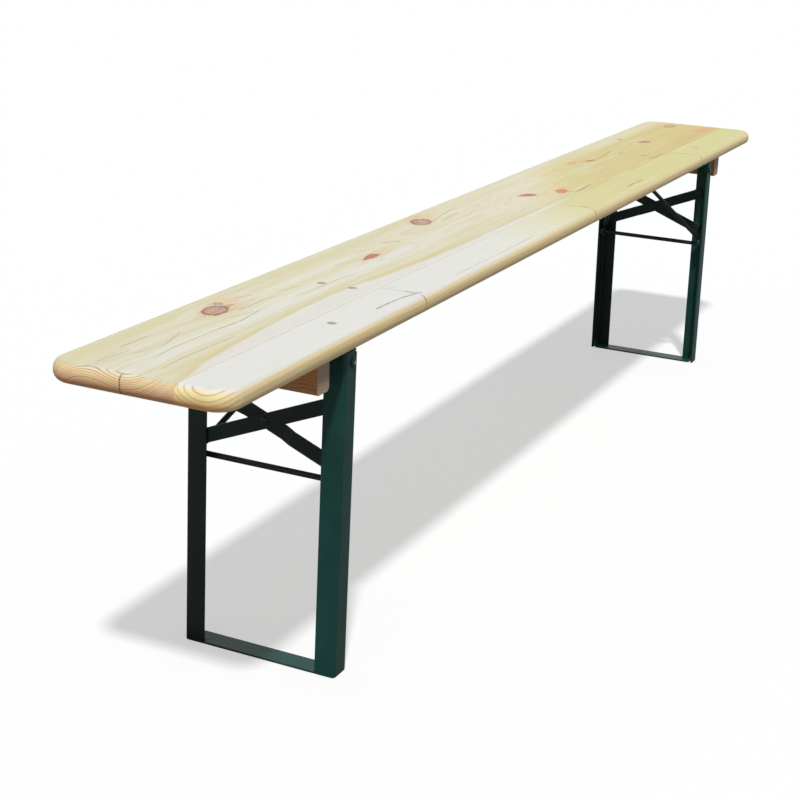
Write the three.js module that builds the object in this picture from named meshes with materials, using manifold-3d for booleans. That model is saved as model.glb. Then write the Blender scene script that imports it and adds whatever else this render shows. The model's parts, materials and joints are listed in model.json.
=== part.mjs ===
// Folding beer-garden bench: a long seat glued up from a wide softwood plank and a front strip of four
// lengths, two cross battens, and two folding leg frames of angle iron. Each frame has a flat floor bar,
// two crossed braces, a rod, and a round-bar bow that props the frame open against a catch under the seat.
// Eight rivets go right through the seat and hold the hinge brackets and the catches.
// Millimetres, +Z up, origin on the floor under the middle of the seat.
// X runs along the seat, and -Y is the front.
import * as THREE from 'three';
import { mergeVertices } from 'three/addons/utils/BufferGeometryUtils.js';
import Module from 'manifold-3d';

// Seat
const seat_length = 2200;
const seat_width = 250;
const seat_thickness = 27;
const seat_height = 470;
const seat_corner_radius = 33;
const seat_edge_radius = 12;
const strip_width = 70;
const strip_joint_place_shares = [-0.275, 0.03, 0.32];

// Cross battens under the seat
const batten_inset = 250;
const batten_width = 30;
const batten_height = 40;
const batten_length = 224;
const batten_chamfer = 4;
const batten_screw_place_shares = [-0.42, -0.12, 0.12, 0.42];

// Leg frames: angle iron uprights
const pivot_inset = 304;
const pivot_drop = 18;
const frame_width = 232;
const angle_width = 30;
const angle_thickness = 3;
const angle_inner_radius = 3;
const angle_outer_radius = 5;
const pivot_setback = 20;
const leg_lean_degrees = 2;
const leg_top_radius = 15.5;

// Floor bars
const floor_bar_bend_radius = 6;
const floor_bar_turn_up = 13;

// Crossed braces
const brace_width = 20;
const brace_thickness = 3;
const brace_high_drop = 59;
const brace_low_drop = 128;
const brace_lap = 15;
const brace_joggle_flat = 60;
const brace_joggle_ramp = 14;
const brace_rivet_radius = 3;
const brace_rivet_head_radius = 6;
const brace_rivet_head_height = 2.2;

// Rod and bow
const rod_radius = 4;
const rod_drop = 160;
const bow_radius = 4;
const bow_reach = 192;
const bow_eye_width = 9;
const bow_crossbar_width = 44;
const bow_bend_radius = 10;
const bow_hang = 10;
const fold_end_rise = 6;

// Hinge brackets and rivets
const bracket_thickness = 3;
const bracket_foot_width = 42;
const bracket_outboard_length = 14;
const bracket_inboard_length = 14;
const bracket_bend_radius = 3;
const lug_radius = 10;
const hinge_rivet_radius = 4;
const hinge_rivet_head_radius = 6.5;
const hinge_rivet_head_height = 3;
const bracket_fixing_place_share = 0.24;
const bracket_screw_reach_share = 0.28;
const bracket_rivet_reach_share = 0.7;

// Catch: a fixed hook and a leaf spring that hold the bow's crossbar
const hook_thickness = 2.5;
const hook_width = 24;
const hook_pad_length = 22;
const hook_pad_width = 66;
const hook_bend_radius = 3.5;
const hook_lip_length = 5;
const hook_rivet_spread = 48;
const hook_rivet_place_share = 0.5;
const spring_thickness = 1.2;
const spring_width = 18;
const spring_root_start = 58;
const spring_root_length = 40;
const spring_bend_radius = 4;
const spring_detent_reach = 4.7;
const spring_detent_rise = 3.7;
const spring_shoulder_reach = 11;
const spring_shoulder_rise = 7;
const spring_lead_rise = 6.6;
const spring_screw_place_shares = [0.3, 0.7];

// Rivets through the seat, their heads sunk just below its top
const seat_rivet_radius = 3;
const seat_rivet_head_radius = 6;
const seat_rivet_head_height = 1.6;
const seat_rivet_sink = 0.4;

// Wood screws
const screw_radius = 2;
const screw_head_radius = 4.5;
const screw_head_height = 2.6;
const screw_point_length = 5;
const short_screw_length = 20;
const batten_screw_length = 56;

// Clearances and cutting allowances
const weld_gap = 0.3;
const running_clearance = 0.1;
const shank_clearance = 0.3;
const bar_clearance = 0.3;
const drill_allowance = 2;
const overrun = 40;

// Facets
const bend_steps = 3;
const round_sides = 24;
const screw_sides = 12;
const bar_sides = 12;
const edge_steps = 5;
const corner_steps = 6;
const dome_steps = 3;

// Worked out from the sizes above
const batten_station = seat_length / 2 - batten_inset;
const pivot_station = seat_length / 2 - pivot_inset;
const underside = seat_height - seat_thickness;
const pivot_height = underside - pivot_drop;
const lean = THREE.MathUtils.degToRad(leg_lean_degrees);
const frame_half = frame_width / 2;
const side_inner = frame_half - angle_thickness;
const outboard_face = -pivot_setback;
const flange_inner = outboard_face + angle_thickness;
const inboard_edge = outboard_face + angle_width;
const flange_toe = frame_half - angle_width;
const plank_joint = -seat_width / 2 + strip_width;
const rod_x = -pivot_station - rod_drop * Math.sin(lean);
const rod_height = pivot_height - rod_drop * Math.cos(lean);
const crossbar_height = underside - bow_hang;
const bow_rise = crossbar_height - rod_height;
const bow_length = Math.hypot(bow_reach, bow_rise);
const bow_eye_middle_radius = rod_radius + running_clearance + bow_radius;
const bow_eye_radius = bow_eye_middle_radius + bow_radius;
const bow_angle = Math.atan2(bow_rise, bow_reach);
const crossbar_x = rod_x + bow_reach;
const hook_seat_radius = bow_radius + bar_clearance + hook_thickness / 2;
const all_across = [-seat_width, seat_width];

// How far the bow turns while its frame folds flat, and the slope along which it leaves its catch
const fold_angle = Math.PI / 2 + lean;
const bow_turn = bow_angle - Math.asin(fold_end_rise / bow_length);
const bow_rate = -bow_turn / fold_angle;
const leave_x = rod_drop * Math.cos(lean) - bow_rate * bow_rise;
const leave_z = -rod_drop * Math.sin(lean) + bow_rate * bow_reach;
const leave_angle = Math.atan2(leave_z, leave_x);

// Materials
const wood = new THREE.MeshStandardMaterial({ color: 0xe3d3a8, roughness: 0.6, metalness: 0 });
const batten_wood = new THREE.MeshStandardMaterial({ color: 0xb98f5e, roughness: 0.7, metalness: 0 });
const green_steel = new THREE.MeshStandardMaterial({ color: 0x1b3a36, roughness: 0.45, metalness: 0.3 });
const zinc_steel = new THREE.MeshStandardMaterial({ color: 0xa7abad, roughness: 0.4, metalness: 0.9 });
const spring_steel = new THREE.MeshStandardMaterial({ color: 0x6d7073, roughness: 0.35, metalness: 0.9 });

const wasm = await Module();
wasm.setup();

// A closed three.js geometry becomes a solid that can be joined and cut.
function solid(geometry) {
  const bare = geometry.index ? geometry.toNonIndexed() : geometry.clone();
  bare.deleteAttribute('normal');
  bare.deleteAttribute('uv');
  const merged = mergeVertices(bare);
  return new wasm.Manifold(new wasm.Mesh({
    numProp: 3,
    vertProperties: new Float32Array(merged.attributes.position.array),
    triVerts: new Uint32Array(merged.index.array),
  }));
}

// A solid goes back to a geometry for drawing.
function geometry_of(body) {
  const found = body.getMesh();
  const geometry = new THREE.BufferGeometry();
  geometry.setAttribute('position', new THREE.BufferAttribute(new Float32Array(found.vertProperties), 3));
  geometry.setIndex(new THREE.BufferAttribute(new Uint32Array(found.triVerts), 1));
  geometry.computeVertexNormals();
  return geometry;
}

function piece(name, body, material) {
  const mesh = new THREE.Mesh(geometry_of(body), material);
  mesh.name = name;
  return mesh;
}

// Boxes and round bars between stated limits
function box(x, y, z) {
  const geometry = new THREE.BoxGeometry(x[1] - x[0], y[1] - y[0], z[1] - z[0]);
  geometry.translate((x[0] + x[1]) / 2, (y[0] + y[1]) / 2, (z[0] + z[1]) / 2);
  return solid(geometry);
}

function round_along_y(radius, y, x, z) {
  const geometry = new THREE.CylinderGeometry(radius, radius, y[1] - y[0], round_sides);
  geometry.translate(x, (y[0] + y[1]) / 2, z);
  return solid(geometry);
}

function round_along_z(radius, z, x, y) {
  const geometry = new THREE.CylinderGeometry(radius, radius, z[1] - z[0], screw_sides);
  geometry.rotateX(Math.PI / 2);
  geometry.translate(x, y, (z[0] + z[1]) / 2);
  return solid(geometry);
}

// An outline of [a, b, radius] points gets an arc at each point whose radius isn't zero.
function soften(points, closed) {
  const softened = [];
  points.forEach(([a, b, radius = 0], index) => {
    const at_end = !closed && (index === 0 || index === points.length - 1);
    if (at_end || radius === 0) {
      softened.push(new THREE.Vector2(a, b));
      return;
    }
    const here = new THREE.Vector2(a, b);
    const last = points[(index + points.length - 1) % points.length];
    const next = points[(index + 1) % points.length];
    const back = new THREE.Vector2(last[0], last[1]).sub(here).normalize();
    const ahead = new THREE.Vector2(next[0], next[1]).sub(here).normalize();
    const half_angle = Math.acos(THREE.MathUtils.clamp(back.dot(ahead), -1, 1)) / 2;
    const start = here.clone().addScaledVector(back, radius / Math.tan(half_angle));
    const bisector = back.clone().add(ahead).normalize();
    const centre = here.clone().addScaledVector(bisector, radius / Math.sin(half_angle));
    const turn = (Math.PI - 2 * half_angle) * Math.sign(ahead.cross(back));
    for (let step = 0; step <= bend_steps; step += 1) {
      softened.push(start.clone().rotateAround(centre, turn * step / bend_steps));
    }
  });
  return softened;
}

// A bent strip: a centre line thickened to both sides
function strip_outline(points, thickness) {
  const left = [];
  const right = [];
  points.forEach((here, index) => {
    const before = points[Math.max(index - 1, 0)];
    const after = points[Math.min(index + 1, points.length - 1)];
    const into = index > 0 ? here.clone().sub(before).normalize() : after.clone().sub(here).normalize();
    const out = index < points.length - 1 ? after.clone().sub(here).normalize() : into;
    const normal = new THREE.Vector2(-into.y - out.y, into.x + out.x).normalize();
    const mitre = thickness / 2 / normal.dot(new THREE.Vector2(-into.y, into.x));
    left.push(here.clone().addScaledVector(normal, mitre));
    right.push(here.clone().addScaledVector(normal, -mitre));
  });
  return new THREE.Shape([...left, ...right.reverse()]);
}

// An outline drawn in two axes is extruded along the third, between two limits.
const along_x = new THREE.Matrix4().makeBasis(
  new THREE.Vector3(0, 1, 0), new THREE.Vector3(0, 0, 1), new THREE.Vector3(1, 0, 0));
const along_y = new THREE.Matrix4().makeBasis(
  new THREE.Vector3(1, 0, 0), new THREE.Vector3(0, 0, 1), new THREE.Vector3(0, -1, 0));

function extrude(shape, depth) {
  return new THREE.ExtrudeGeometry(shape, { depth, bevelEnabled: false, curveSegments: corner_steps });
}

function prism_x(shape, x) {
  const geometry = extrude(shape, x[1] - x[0]);
  geometry.applyMatrix4(along_x);
  geometry.translate(x[0], 0, 0);
  return solid(geometry);
}

function prism_y(shape, y) {
  const geometry = extrude(shape, y[1] - y[0]);
  geometry.applyMatrix4(along_y);
  geometry.translate(0, y[1], 0);
  return solid(geometry);
}

function prism_z(shape, z) {
  const geometry = extrude(shape, z[1] - z[0]);
  geometry.translate(0, 0, z[0]);
  return solid(geometry);
}

// A round-headed wood screw, its head under z = 0 and its shank pointing up
function screw_body(length) {
  const profile = [new THREE.Vector2(0, -screw_head_height)];
  for (let step = 1; step <= dome_steps; step += 1) {
    const angle = Math.PI / 2 * step / dome_steps;
    profile.push(new THREE.Vector2(
      screw_head_radius * Math.sin(angle), -screw_head_height * Math.cos(angle)));
  }
  profile.push(new THREE.Vector2(screw_radius, 0));
  profile.push(new THREE.Vector2(screw_radius, length - screw_point_length));
  profile.push(new THREE.Vector2(0, length));
  const geometry = new THREE.LatheGeometry(profile, screw_sides);
  geometry.rotateX(Math.PI / 2);
  return solid(geometry);
}

function screw(name, length, x, y, seat) {
  const mesh = piece(name, screw_body(length), zinc_steel);
  mesh.position.set(x, y, seat);
  return mesh;
}

// A rivet along +Y: a flat-backed dome, a shank and a second dome
function rivet_body(radius, head_radius, head_height, grip, sides) {
  const profile = [];
  for (let step = 0; step <= dome_steps; step += 1) {
    const angle = Math.PI / 2 * step / dome_steps;
    profile.push(new THREE.Vector2(head_radius * Math.sin(angle), -head_height * Math.cos(angle)));
  }
  profile.push(new THREE.Vector2(radius, 0));
  profile.push(new THREE.Vector2(radius, grip));
  for (let step = dome_steps; step >= 0; step -= 1) {
    const angle = Math.PI / 2 * step / dome_steps;
    profile.push(new THREE.Vector2(head_radius * Math.sin(angle), grip + head_height * Math.cos(angle)));
  }
  return new THREE.LatheGeometry(profile, sides);
}

// The long edge of the seat that a hand of one end lies at
function edge_name(hand, turn) {
  return hand * turn < 0 ? 'front' : 'rear';
}

// Every screw that enters the seat: name, place, the height of its head's seat, and its length
function screw_list(turn) {
  const list = [];
  [-1, 1].forEach((hand) => {
    list.push({
      name: `bracket_screw_${edge_name(hand, turn)}`,
      x: -pivot_station + bracket_fixing_place_share * bracket_inboard_length,
      y: hand * (side_inner - weld_gap - bracket_screw_reach_share * bracket_foot_width),
      seat: underside - bracket_thickness,
      length: short_screw_length,
    });
  });
  spring_screw_place_shares.forEach((share, index) => {
    list.push({
      name: `spring_screw_${index + 1}`,
      x: crossbar_x + spring_root_start + share * spring_root_length,
      y: 0,
      seat: underside - spring_thickness,
      length: short_screw_length,
    });
  });
  batten_screw_place_shares.forEach((share, index) => {
    list.push({
      name: `batten_screw_${turn > 0 ? index + 1 : batten_screw_place_shares.length - index}`,
      x: -batten_station - batten_width / 2,
      y: share * batten_length,
      seat: underside - batten_height,
      length: batten_screw_length,
    });
  });
  return list;
}

// Every rivet that goes through the seat: name, place, and the thickness of the plate that it holds
function rivet_list(turn) {
  const list = [];
  [-1, 1].forEach((hand) => {
    list.push({
      name: `bracket_rivet_${edge_name(hand, turn)}`,
      x: -pivot_station + bracket_fixing_place_share * bracket_inboard_length,
      y: hand * (side_inner - weld_gap - bracket_rivet_reach_share * bracket_foot_width),
      plate: bracket_thickness,
    });
    list.push({
      name: `catch_rivet_${edge_name(hand, turn)}`,
      x: crossbar_x - hook_seat_radius - hook_rivet_place_share * hook_pad_length,
      y: hand * hook_rivet_spread / 2,
      plate: hook_thickness,
    });
  });
  return list;
}

function seat_rivet(name, x, y, plate) {
  const grip = plate + seat_thickness - seat_rivet_sink - seat_rivet_head_height;
  const geometry = rivet_body(
    seat_rivet_radius, seat_rivet_head_radius, seat_rivet_head_height, grip, screw_sides);
  geometry.rotateX(Math.PI / 2);
  const mesh = piece(name, solid(geometry), zinc_steel);
  mesh.position.set(x, y, underside - plate);
  return mesh;
}

// The hole that a seat rivet needs in whatever it goes through
function rivet_hole({ x, y }) {
  return round_along_z(seat_rivet_radius + shank_clearance, [-overrun, seat_height + overrun], x, y);
}

// Seat planks: one rounded board, split at the glue lines, drilled and counterbored
function seat_planks() {
  const half_length = seat_length / 2 - seat_edge_radius;
  const half_width = seat_width / 2 - seat_edge_radius;
  const radius = seat_corner_radius - seat_edge_radius;
  const plan = new THREE.Shape();
  plan.absarc(half_length - radius, half_width - radius, radius, 0, Math.PI / 2);
  plan.absarc(-half_length + radius, half_width - radius, radius, Math.PI / 2, Math.PI);
  plan.absarc(-half_length + radius, -half_width + radius, radius, Math.PI, Math.PI * 3 / 2);
  plan.absarc(half_length - radius, -half_width + radius, radius, Math.PI * 3 / 2, Math.PI * 2);
  const geometry = new THREE.ExtrudeGeometry(plan, {
    depth: seat_thickness - 2 * seat_edge_radius,
    bevelThickness: seat_edge_radius,
    bevelSize: seat_edge_radius,
    bevelSegments: edge_steps,
    curveSegments: edge_steps,
  });
  geometry.translate(0, 0, underside + seat_edge_radius);
  let board = solid(geometry);
  [1, -1].forEach((turn) => {
    screw_list(turn).forEach(({ x, y, seat, length }) => {
      const top = seat + length + drill_allowance;
      const span = [underside - overrun, top];
      const hole = round_along_z(screw_radius + shank_clearance, span, turn * x, turn * y);
      board = board.subtract(hole);
    });
    rivet_list(turn).forEach(({ x, y }) => {
      const recess = [seat_height - seat_rivet_sink - seat_rivet_head_height, seat_height + overrun];
      const radius = seat_rivet_head_radius + shank_clearance;
      board = board.subtract(rivet_hole({ x: turn * x, y: turn * y }));
      board = board.subtract(round_along_z(radius, recess, turn * x, turn * y));
    });
  });
  const reach = seat_length / 2 + overrun;
  const across_strip = [-seat_width, plank_joint];
  const all_heights = [0, seat_height + overrun];
  const joints = strip_joint_place_shares.map((share) => share * seat_length);
  const ends = [-reach, ...joints, reach];
  const strips = ends.slice(1).map((end, index) => (
    board.intersect(box([ends[index], end], across_strip, all_heights))));
  return { plank: board.subtract(box([-reach, reach], across_strip, all_heights)), strips };
}

function batten_body(turn) {
  const inboard = -batten_station;
  const outboard = -batten_station - batten_width;
  const bottom = underside - batten_height;
  const section = new THREE.Shape([
    new THREE.Vector2(inboard, underside),
    new THREE.Vector2(outboard, underside),
    new THREE.Vector2(outboard, bottom + batten_chamfer),
    new THREE.Vector2(outboard + batten_chamfer, bottom),
    new THREE.Vector2(inboard - batten_chamfer, bottom),
    new THREE.Vector2(inboard, bottom + batten_chamfer),
  ]);
  let body = prism_y(section, [-batten_length / 2, batten_length / 2]);
  screw_list(turn).filter(({ name }) => name.startsWith('batten')).forEach(({ x, y }) => {
    const span = [bottom - overrun, underside + overrun];
    body = body.subtract(round_along_z(screw_radius + shank_clearance, span, x, y));
  });
  return body;
}

// Leg frame pieces are drawn about the hinge line, before the frame leans outward.
function upright_body(hand) {
  const outer = hand * frame_half;
  const inner = hand * side_inner;
  const toe = hand * flange_toe;
  const section = new THREE.Shape(soften([
    [outboard_face, outer, angle_outer_radius],
    [inboard_edge, outer],
    [inboard_edge, inner],
    [flange_inner, inner, angle_inner_radius],
    [flange_inner, toe],
    [outboard_face, toe],
  ], true));
  let body = prism_z(section, [-pivot_height - overrun, leg_top_radius]);
  const floor_size = 2 * (angle_width + overrun);
  const floor = new THREE.BoxGeometry(floor_size, floor_size, 2 * overrun);
  floor.translate(0, outer, -pivot_height - overrun);
  floor.rotateY(-lean);
  body = body.subtract(solid(floor));
  const across = [Math.min(inner, outer) - overrun, Math.max(inner, outer) + overrun];
  const corner = new THREE.Shape();
  corner.absarc(0, 0, leg_top_radius, Math.PI / 2, 0, true);
  corner.lineTo(leg_top_radius + overrun, 0);
  corner.lineTo(leg_top_radius + overrun, leg_top_radius + overrun);
  corner.lineTo(0, leg_top_radius + overrun);
  body = body.subtract(prism_y(corner, across));
  return body.subtract(round_along_y(hinge_rivet_radius + running_clearance, across, 0, 0));
}

// A brace is a flat bar drawn along X, then tilted between its low and its high end.
function brace_body(joggled, rising) {
  const rise = brace_low_drop - brace_high_drop;
  const tilt = Math.atan2(rise, 2 * flange_toe);
  const half = (flange_toe + brace_lap) / Math.cos(tilt);
  const lift = joggled ? brace_thickness + weld_gap : 0;
  const flat = brace_joggle_flat / 2;
  const line = soften([
    [-half, 0],
    [-flat - brace_joggle_ramp, 0, brace_thickness],
    [-flat, lift, brace_thickness],
    [flat, lift, brace_thickness],
    [flat + brace_joggle_ramp, 0, brace_thickness],
    [half, 0],
  ], false);
  const straight = [new THREE.Vector2(-half, 0), new THREE.Vector2(half, 0)];
  const outline = strip_outline(joggled ? line : straight, brace_thickness);
  const geometry = extrude(outline, brace_width);
  geometry.translate(0, 0, -brace_width / 2);
  const hole = new THREE.CylinderGeometry(
    brace_rivet_radius + shank_clearance, brace_rivet_radius + shank_clearance, 2 * overrun, screw_sides);
  const body = geometry_of(solid(geometry).subtract(solid(hole)));
  body.rotateZ(-Math.PI / 2);
  body.rotateX(rising ? -tilt : tilt);
  body.translate(
    flange_inner + weld_gap + brace_thickness / 2, 0, -(brace_low_drop + brace_high_drop) / 2);
  return solid(body);
}

function brace_rivet() {
  const grip = 2 * brace_thickness + 3 * weld_gap;
  const geometry = rivet_body(
    brace_rivet_radius, brace_rivet_head_radius, brace_rivet_head_height, grip, round_sides);
  geometry.rotateZ(-Math.PI / 2);
  geometry.translate(flange_inner, 0, -(brace_low_drop + brace_high_drop) / 2);
  return solid(geometry);
}

function rod_body() {
  const half = side_inner - weld_gap;
  return round_along_y(rod_radius, [-half, half], 0, -rod_drop);
}

// The floor bar lies flat on the floor, flush with the frame's outboard face.
function floor_bar_body() {
  const bend = floor_bar_bend_radius + angle_thickness / 2;
  const middle = angle_thickness / 2;
  const end = side_inner - weld_gap - middle;
  const line = soften([
    [-end, floor_bar_turn_up],
    [-end, middle, bend],
    [end, middle, bend],
    [end, floor_bar_turn_up],
  ], false);
  const drop = pivot_height + pivot_setback * Math.sin(lean);
  const outboard = -pivot_station - pivot_setback * Math.cos(lean) - drop * Math.tan(lean);
  const body = prism_x(strip_outline(line, angle_thickness), [outboard, outboard + angle_width]);
  const root_clear = floor_bar_turn_up * Math.tan(lean) + angle_inner_radius + weld_gap;
  const notch_edge = outboard + angle_thickness + root_clear;
  const notches = [-1, 1].map((hand) => box(
    [outboard - overrun, notch_edge],
    hand < 0 ? [-frame_width, -flange_toe + weld_gap] : [flange_toe - weld_gap, frame_width],
    [-overrun, floor_bar_turn_up + overrun]));
  return body.subtract(notches[0]).subtract(notches[1]);
}

// The bow, drawn with its two eyes on the rod and its crossbar at bow_length along X.
// Each arm leaves the top of its eye and comes down to the crossbar's height.
function bow_body() {
  const eye_middle = side_inner - 2 * weld_gap - bow_eye_width / 2;
  const crossbar = bow_crossbar_width / 2;
  const line = soften([
    [0, eye_middle],
    [bow_length, crossbar, bow_bend_radius],
    [bow_length, -crossbar, bow_bend_radius],
    [0, -eye_middle],
  ], false);
  const lift = (point) => bow_eye_middle_radius * (1 - point.x / bow_length);
  let body = bar_along(line, bow_radius, lift);
  [-1, 1].forEach((hand) => {
    const span = [hand * eye_middle - bow_eye_width / 2, hand * eye_middle + bow_eye_width / 2];
    body = body.add(round_along_y(bow_eye_radius, span, 0, 0));
  });
  [-1, 1].forEach((hand) => {
    const span = [hand * eye_middle - bow_eye_width, hand * eye_middle + bow_eye_width];
    body = body.subtract(round_along_y(rod_radius + running_clearance, span, 0, 0));
  });
  return body;
}

// A round bar along a line of points, with its rings mitred at each point and its height given by lift
function bar_along(line, radius, lift) {
  const positions = [];
  const indices = [];
  line.forEach((here, index) => {
    const before = line[Math.max(index - 1, 0)];
    const after = line[Math.min(index + 1, line.length - 1)];
    const into = index > 0 ? here.clone().sub(before).normalize() : after.clone().sub(here).normalize();
    const out = index < line.length - 1 ? after.clone().sub(here).normalize() : into;
    const normal = new THREE.Vector2(-into.y - out.y, into.x + out.x).normalize();
    const mitre = radius / normal.dot(new THREE.Vector2(-into.y, into.x));
    for (let side = 0; side < bar_sides; side += 1) {
      const angle = 2 * Math.PI * side / bar_sides;
      const across = mitre * Math.cos(angle);
      const height = lift(here) + radius * Math.sin(angle);
      positions.push(here.x + normal.x * across, here.y + normal.y * across, height);
    }
  });
  const last = line.length - 1;
  for (let ring = 0; ring < last; ring += 1) {
    for (let side = 0; side < bar_sides; side += 1) {
      const next = (side + 1) % bar_sides;
      const a = ring * bar_sides + side;
      const b = ring * bar_sides + next;
      indices.push(a, b, a + bar_sides);
      indices.push(b, b + bar_sides, a + bar_sides);
    }
  }
  for (let side = 1; side < bar_sides - 1; side += 1) {
    indices.push(0, side + 1, side);
    indices.push(last * bar_sides, last * bar_sides + side, last * bar_sides + side + 1);
  }
  const geometry = new THREE.BufferGeometry();
  geometry.setAttribute('position', new THREE.Float32BufferAttribute(positions, 3));
  geometry.setIndex(indices);
  return solid(geometry);
}

// A hinge bracket: a foot riveted and screwed to the seat and a lug beside the upright
function bracket_body(hand, turn) {
  const middle = bracket_thickness / 2;
  const lug = hand * (side_inner - weld_gap - middle);
  const foot = underside - middle;
  const lug_bottom = pivot_height - lug_radius;
  const line = soften([
    [lug - hand * (bracket_foot_width - middle), foot],
    [lug, foot, bracket_bend_radius],
    [lug, lug_bottom],
  ], false);
  const limits = [-pivot_station - bracket_outboard_length, -pivot_station + bracket_inboard_length];
  let body = prism_x(strip_outline(line, bracket_thickness), limits);
  const shoulder = underside - bracket_thickness - bracket_bend_radius;
  const waste = new THREE.Shape();
  waste.moveTo(limits[0] - overrun, shoulder);
  waste.lineTo(-pivot_station - lug_radius, shoulder);
  waste.absarc(-pivot_station, pivot_height, lug_radius, Math.PI, 2 * Math.PI);
  waste.lineTo(-pivot_station + lug_radius, shoulder);
  waste.lineTo(limits[1] + overrun, shoulder);
  waste.lineTo(limits[1] + overrun, lug_bottom - overrun);
  waste.lineTo(limits[0] - overrun, lug_bottom - overrun);
  body = body.subtract(prism_y(waste, all_across));
  const hole_radius = hinge_rivet_radius + running_clearance;
  body = body.subtract(round_along_y(hole_radius, all_across, -pivot_station, pivot_height));
  screw_list(turn).filter(({ name }) => name.startsWith('bracket')).forEach(({ x, y }) => {
    const hole = round_along_z(screw_radius + shank_clearance, [shoulder, underside + overrun], x, y);
    body = body.subtract(hole);
  });
  rivet_list(turn).filter(({ name }) => name.startsWith('bracket')).forEach((place) => {
    body = body.subtract(rivet_hole(place));
  });
  return body;
}

function hinge_rivet(hand) {
  const inner = side_inner - weld_gap - bracket_thickness;
  const outer = frame_half + weld_gap;
  const geometry = rivet_body(
    hinge_rivet_radius, hinge_rivet_head_radius, hinge_rivet_head_height, outer - inner, round_sides);
  geometry.translate(0, inner, 0);
  if (hand < 0) {
    geometry.rotateZ(Math.PI);
  }
  geometry.translate(-pivot_station, 0, pivot_height);
  return solid(geometry);
}

// The catch hook: a wide pad riveted to the seat, and a narrower tongue that curls under the crossbar
function hook_body(turn) {
  const pad = bow_hang - hook_thickness / 2;
  const line = soften([
    [-hook_seat_radius - hook_pad_length, pad],
    [-hook_seat_radius, pad, hook_bend_radius],
    [-hook_seat_radius, 0],
  ], false);
  const last_angle = Math.PI * 3 / 2 + leave_angle;
  for (let step = 1; step <= corner_steps; step += 1) {
    const angle = Math.PI + (last_angle - Math.PI) * step / corner_steps;
    line.push(new THREE.Vector2(hook_seat_radius * Math.cos(angle), hook_seat_radius * Math.sin(angle)));
  }
  const lip = line[line.length - 1].clone();
  lip.x += hook_lip_length * Math.cos(leave_angle);
  lip.y += hook_lip_length * Math.sin(leave_angle);
  line.push(lip);
  const placed = line.map((point) => point.add(new THREE.Vector2(crossbar_x, crossbar_height)));
  let body = prism_y(strip_outline(placed, hook_thickness), [-hook_pad_width / 2, hook_pad_width / 2]);
  const pad_end = crossbar_x - hook_seat_radius - hook_thickness;
  [-1, 1].forEach((hand) => {
    const sides = [hand * hook_width / 2, hand * (hook_pad_width + overrun) / 2];
    const beside = [Math.min(...sides), Math.max(...sides)];
    body = body.subtract(box([pad_end, pad_end + overrun], beside, [0, seat_height + overrun]));
  });
  rivet_list(turn).filter(({ name }) => name.startsWith('catch')).forEach((place) => {
    body = body.subtract(rivet_hole(place));
  });
  return body;
}

function spring_body(turn) {
  const middle = spring_thickness / 2;
  const root = bow_hang - middle;
  const line = soften([
    [0, spring_lead_rise],
    [spring_detent_reach, spring_detent_rise, spring_thickness],
    [spring_shoulder_reach, spring_shoulder_rise, spring_bend_radius],
    [spring_root_start, root, spring_bend_radius],
    [spring_root_start + spring_root_length, root],
  ], false);
  const placed = line.map((point) => point.add(new THREE.Vector2(crossbar_x, crossbar_height)));
  let body = prism_y(strip_outline(placed, spring_thickness), [-spring_width / 2, spring_width / 2]);
  screw_list(turn).filter(({ name }) => name.startsWith('spring')).forEach(({ x, y, seat }) => {
    const hole = round_along_z(screw_radius + shank_clearance, [seat - middle, underside + overrun], x, y);
    body = body.subtract(hole);
  });
  return body;
}

// One end of the bench, drawn as the left end. The right end is the same, turned half way round.
function bench_end(end, turn) {
  const group = new THREE.Group();
  group.rotation.z = turn > 0 ? 0 : Math.PI;
  const leg = new THREE.Group();
  leg.position.set(-pivot_station, 0, pivot_height);
  leg.rotation.y = lean;
  [-1, 1].forEach((hand) => {
    leg.add(piece(`${end}_upright_${edge_name(hand, turn)}`, upright_body(hand), green_steel));
    group.add(piece(`${end}_hinge_bracket_${edge_name(hand, turn)}`, bracket_body(hand, turn), green_steel));
    group.add(piece(`${end}_hinge_rivet_${edge_name(hand, turn)}`, hinge_rivet(hand), green_steel));
  });
  leg.add(piece(`${end}_cross_brace_straight`, brace_body(false, true), green_steel));
  leg.add(piece(`${end}_cross_brace_joggled`, brace_body(true, false), green_steel));
  leg.add(piece(`${end}_brace_rivet`, brace_rivet(), green_steel));
  leg.add(piece(`${end}_strut_rod`, rod_body(), green_steel));
  group.add(leg);
  group.add(piece(`${end}_floor_bar`, floor_bar_body(), green_steel));
  const bow = piece(`${end}_bow`, bow_body(), green_steel);
  bow.position.set(rod_x, 0, rod_height);
  bow.rotation.y = -bow_angle;
  group.add(bow);
  group.add(piece(`${end}_catch_hook`, hook_body(turn), zinc_steel));
  group.add(piece(`${end}_catch_spring`, spring_body(turn), spring_steel));
  group.add(piece(`${end}_batten`, batten_body(turn), batten_wood));
  screw_list(turn).forEach(({ name, x, y, seat, length }) => {
    group.add(screw(`${end}_${name}`, length, x, y, seat));
  });
  rivet_list(turn).forEach(({ name, x, y, plate }) => {
    group.add(seat_rivet(`${end}_${name}`, x, y, plate));
  });
  return group;
}

const group = new THREE.Group();
const planks = seat_planks();
group.add(piece('seat_plank', planks.plank, wood));
planks.strips.forEach((body, index) => {
  group.add(piece(`seat_strip_${index + 1}`, body, wood));
});
group.add(bench_end('left', 1));
group.add(bench_end('right', -1));

export default group;
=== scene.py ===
"""Looks of a folding bench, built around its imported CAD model. Metres, +Z up."""
import json
import math
import random

import bmesh
import bpy
from mathutils import Matrix, Vector


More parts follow.
